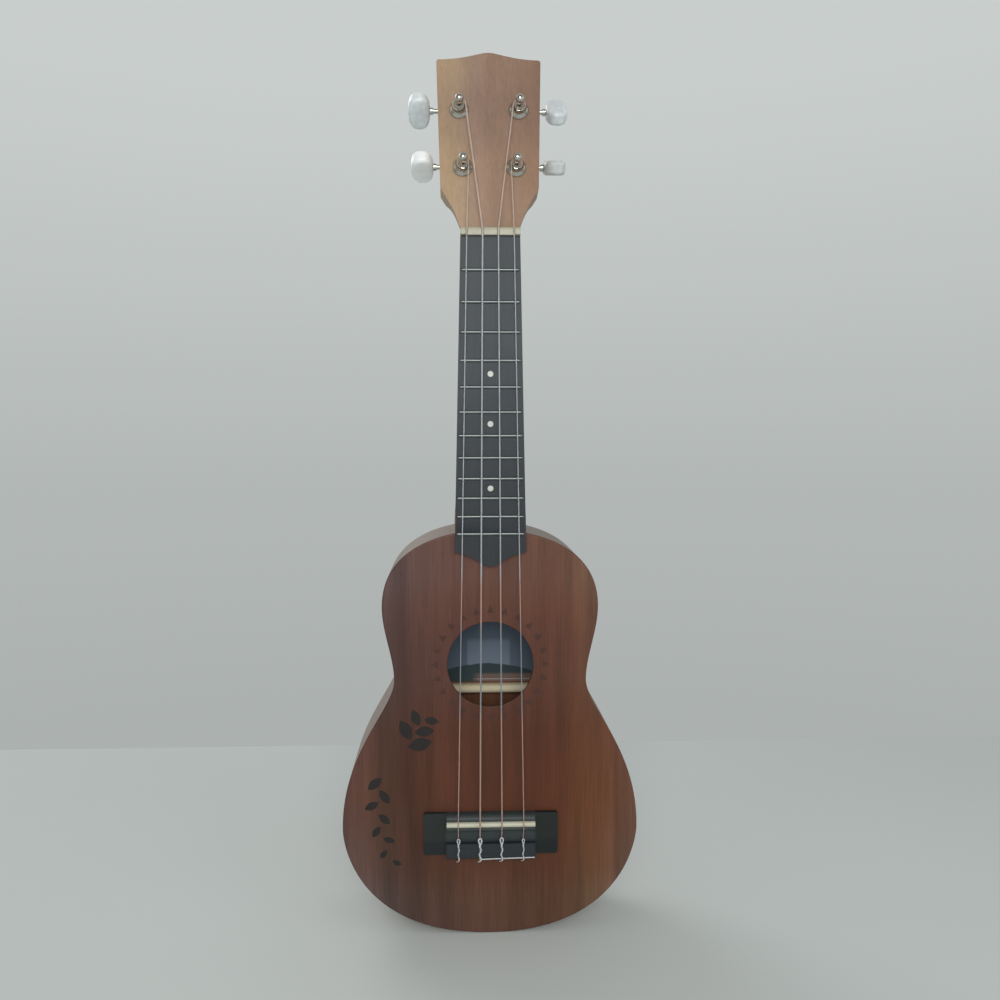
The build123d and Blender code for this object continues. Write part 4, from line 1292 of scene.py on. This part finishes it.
# ---- Bridge and strings --------------------------------------------------------------------
@dataclass
class Bridge(SubAssembly):
    """Tie bridge and saddle, and the strings with their knots and loose ends."""

    spread_at_saddle: float = 39.2
    tie_front_z: float = -361.2
    tie_rear_z: float = -370.4
    block_top: float = -6.5
    sways: float = 1.6
    sway_steps: int = 18
    sway_start: float = 0.6  # radians
    sway_aside: float = 0.55  # in strand spacings, like the two heights
    sway_height: tuple[float, float] = (0.85, 0.15)
    eye_steps: int = 12
    eye_drop: float = 0.4  # in strand spacings
    eye_lift: float = 0.9
    slack: float = 0.05  # between the block and the strand that lies on it
    strand_gap: float = 0.06
    overlap: float = 0.6  # how far the sways reach past the block's rear edge
    eye_overlap: float = 0.4
    # Width and reach of each string's eye.
    eyes: tuple[tuple[float, float], ...] = ((2.2, 3.6), (2.6, 3.9), (2.5, 4.2), (1.7, 3.2))
    tuck: tuple[float, float] = (0.3, -0.8)  # across and along, where the strand ends in the eye
    # The flick past the rear edge: across, up and along from it.
    flick: tuple[Place, ...] = ((-1.1, 1.9, -2.4), (-0.6, 0.6, -1.9))
    # The long loose end: across, sunk by shares of its radius, and along.
    loose_end: tuple[Place, ...] = ((-0.4, 0.0, -0.2), (6.0, 0.1, 0.2), (20.0, 0.1, 0.3), (33.0, 0.1, 0.6))
    loose_end_share: float = 0.8  # of the string's radius

    def string_x(self, number: int) -> float:
        """Place of a string across the bridge, counted from the bass side."""
        return self.spread_at_saddle * (number / 3 - 0.5)

    def knot(self, number: int, radius: float) -> list[Vector]:
        """Draw one string's loose end: its flick, its twists over the block and its eye.

        Args:
            number: The string, counted from the bass side.
            radius: The string's radius.

        Returns:
            Points from the end of the string to the eye and back, in metres.
        """
        x = self.string_x(number)
        level = self.block_top - radius - self.slack
        coil = 2 * radius + self.strand_gap
        points = [(x + across, level + up, self.tie_rear_z + along) for across, up, along in self.flick]
        # The loose strand sways beside the one that lies on the block.
        length = self.tie_front_z - self.tie_rear_z
        for step in range(self.sway_steps + 1):
            turn = 2 * math.pi * self.sways * step / self.sway_steps + self.sway_start
            height = level - coil * (self.sway_height[0] + self.sway_height[1] * math.cos(turn))
            along = self.tie_rear_z - self.overlap + length * step / self.sway_steps
            points.append((x + coil * self.sway_aside * math.sin(turn), height, along))
        # The eye goes round the strand that comes down from the saddle.
        width, reach = self.eyes[number]
        base = self.tie_front_z - self.eye_overlap
        for step in range(1, self.eye_steps):
            turn = 2 * math.pi * step / self.eye_steps
            bulge = math.sin(turn / 2)
            height = level - coil * self.eye_drop + self.eye_lift * bulge
            along = base + reach / 2 * (1 - math.cos(turn))
            points.append((x + width / 2 * math.sin(turn) * bulge, height, along))
        across, along = self.tuck
        points.append((x + across, level - coil, base + along))
        return [Vector(point) * MM for point in points]

    def build(self) -> None:
        """Build and dress the bridge, the saddle, the strings and the knots."""
        self.smooth("bridge", "bridge", Slot.ROSEWOOD)
        self.smooth("saddle", "cream", Slot.CREAM)
        knotted = self.palette.get("knots")
        for number, (name, diameter) in enumerate(STRING_DIAMETERS.items()):
            radius = diameter / 2
            seat(tube(f"knot_{name}", self.knot(number, radius), radius * MM, knotted), Slot.NYLON)
            self.smooth(f"string_{name}", "nylon", Slot.NYLON, 60.0)
        # The second string's end was left long.
        x, radius = self.string_x(1), STRING_DIAMETERS["c"] / 2
        line = [
            Vector((x + across, self.block_top - radius * (1 - sunk), self.tie_rear_z + along)) * MM
            for across, sunk, along in self.loose_end
        ]
        seat(tube("loose_end_c", line, radius * self.loose_end_share * MM, knotted), Slot.NYLON)


# ---- Tuning machines -----------------------------------------------------------------------
@dataclass
class Tuners(SubAssembly):
    """Four open-geared tuning machines."""

    def build(self) -> None:
        """Dress every machine's pieces."""
        for name in STRING_DIAMETERS:
            for part in ("tuner_plate", "worm_shaft", "post"):
                self.smooth(f"{part}_{name}", "chrome", Slot.CHROME)
            self.smooth(f"gear_{name}", "gear", Slot.GEAR_STEEL)
            self.smooth(f"gear_screw_{name}", "chrome", Slot.CHROME)
            # Each button takes its own copy of the pearl, with its own painted light and shade.
            self.smooth(f"button_{name}", f"pearl_{name}", Slot.PEARL, 50.0)
            self.smooth(f"string_winding_{name}", "turns", Slot.NYLON)
        for node in ("post_bushings", "plate_screws"):
            self.smooth(node, "chrome", Slot.CHROME)


# ---- Studio --------------------------------------------------------------------------------
@dataclass(frozen=True)
class Lamp:
    """One soft square light that faces the instrument, in metres and watts."""

    name: str
    at: Place
    size: float
    power: float
    colour: str
    aim: Place = (0.0, 0.0, -0.2)

    def build(self) -> None:
        """Hang the lamp."""
        data = bpy.data.lights.new(self.name, "AREA")
        data.shape = "SQUARE"
        data.size = self.size
        data.energy = self.power
        data.color = linear(self.colour)[:3]
        lamp = link_object(self.name, data)
        lamp.location = self.at
        lamp.rotation_euler = (Vector(self.aim) - Vector(self.at)).to_track_quat("-Z", "Y").to_euler()


@dataclass
class Studio:
    """Camera, floor, soft lamps and a pale world."""

    camera_at: Place = (-22.1, -517.4, -112.9)
    looks_along: Place = (0.0331, 0.9964, -0.0774)
    roll_degrees: float = -0.08
    lens_mm: float = 31.5
    sensor_mm: float = 36.0
    shift_x: float = 0.018
    clip: tuple[float, float] = (0.01, 20.0)  # metres
    floor_z: float = -421.2
    floor_far_y: float = 330.0
    floor_reach: float = 6000.0
    floor_colour: str = "#ced3d1"
    floor_cloud_mm: float = 260.0
    floor_cloud_share: float = 0.05
    light_colour: str = "#e6eaea"
    light_strength: float = 0.50
    backdrop: Stops = ((-0.30, "#acb1af"), (-0.05, "#b3b8b6"), (0.35, "#c9cecc"))  # heading's rise, colour
    room_colour: str = "#5d5c57"
    room_share: float = 0.8
    room_from: tuple[float, float] = (0.1, -0.6)  # where the room starts and where it is full
    lamps: tuple[Lamp, ...] = (
        Lamp("key", (-0.05, -1.60, 0.40), 0.9, 15.6, "#fffdf8"),
        Lamp("fill", (1.2, -1.0, 0.1), 1.2, 3.5, "#f6faff"),
        Lamp("rim", (-0.8, 1.0, 0.8), 0.9, 6.0, "#ffffff"),
    )

    def camera(self) -> None:
        """Place the camera."""
        data = bpy.data.cameras.new("camera")
        data.lens = self.lens_mm
        data.sensor_width = self.sensor_mm
        data.shift_x = self.shift_x
        data.clip_start, data.clip_end = self.clip
        eye = link_object("camera", data)
        eye.location = Vector(self.camera_at) * MM
        aim = Vector(self.looks_along).to_track_quat("-Z", "Y").to_matrix().to_4x4()
        eye.rotation_euler = (aim @ Matrix.Rotation(math.radians(self.roll_degrees), 4, "Z")).to_euler()
        bpy.context.scene.camera = eye

    def floor(self) -> None:
        """Lay a plain pale floor."""
        reach, far, z = self.floor_reach, self.floor_far_y, self.floor_z
        corners = ((-reach, -reach, z), (reach, -reach, z), (reach, far, z), (-reach, far, z))
        mesh = bpy.data.meshes.new("floor")
        mesh.from_pydata([Vector(corner) * MM for corner in corners], [], [(0, 1, 2, 3)])
        work = Coating("floor_paint", self.floor_colour)
        cloud = work.noise((self.floor_cloud_mm,) * 3, 3.0)
        work.lay(cloud.colours([(0.3, 0.6), (0.7, 1.0)]), self.floor_cloud_share, Blend.MULTIPLIED)
        mesh.materials.append(work.done({"Roughness": 0.9}))
        link_object("floor", mesh)

    def world(self) -> None:
        """Light the surroundings evenly, and show them pale to the camera and in gloss."""
        world = bpy.data.worlds.new("studio")
        world.use_nodes = True
        tree = world.node_tree
        tree.nodes.clear()
        even = {"Color": linear(self.light_colour), "Strength": self.light_strength}
        lighting = add_node(tree, "ShaderNodeBackground", even)
        heading = add_node(tree, "ShaderNodeTexCoord").outputs["Generated"]
        split = add_node(tree, "ShaderNodeSeparateXYZ", {0: heading})
        towards, up = (Number(tree, split.outputs[letter]) for letter in "YZ")
        ray = add_node(tree, "ShaderNodeLightPath")
        kinds = ("Camera", "Transmission", "Glossy")
        camera, through, glossy = (Number(tree, ray.outputs[f"Is {kind} Ray"]) for kind in kinds)
        # Gloss also shows the darker room that the instrument faces.
        room = towards.rise(*self.room_from, 0.0, self.room_share) * glossy
        layers = {0: room, 6: up.colours(self.backdrop), 7: paint(self.room_colour)}
        shown = add_node(tree, "ShaderNodeMix", layers, data_type="RGBA").outputs[2]
        backdrop = add_node(tree, "ShaderNodeBackground", {"Color": shown, "Strength": 1.0})
        seen = camera.using("MAXIMUM", through).using("MAXIMUM", glossy)
        blend = add_node(tree, "ShaderNodeMixShader", {0: seen, 1: lighting, 2: backdrop})
        add_node(tree, "ShaderNodeOutputWorld", {"Surface": blend})
        bpy.context.scene.world = world

    def build(self) -> None:
        """Set up the studio."""
        bpy.context.scene.view_settings.view_transform = "Standard"
        self.camera()
        self.floor()
        for lamp in self.lamps:
            lamp.build()
        self.world()


def main() -> None:
    """Build the studio and the instrument."""
    logging.basicConfig(level=logging.INFO, format="%(name)s: %(message)s")
    Studio().build()
    palette = Palette(Finishes())
    for assembly in (Body(palette), Ornament(palette), Neck(palette), Bridge(palette), Tuners(palette)):
        assembly.build()
        LOG.info("%s done", type(assembly).__name__)


if __name__ == "__main__":
    main()
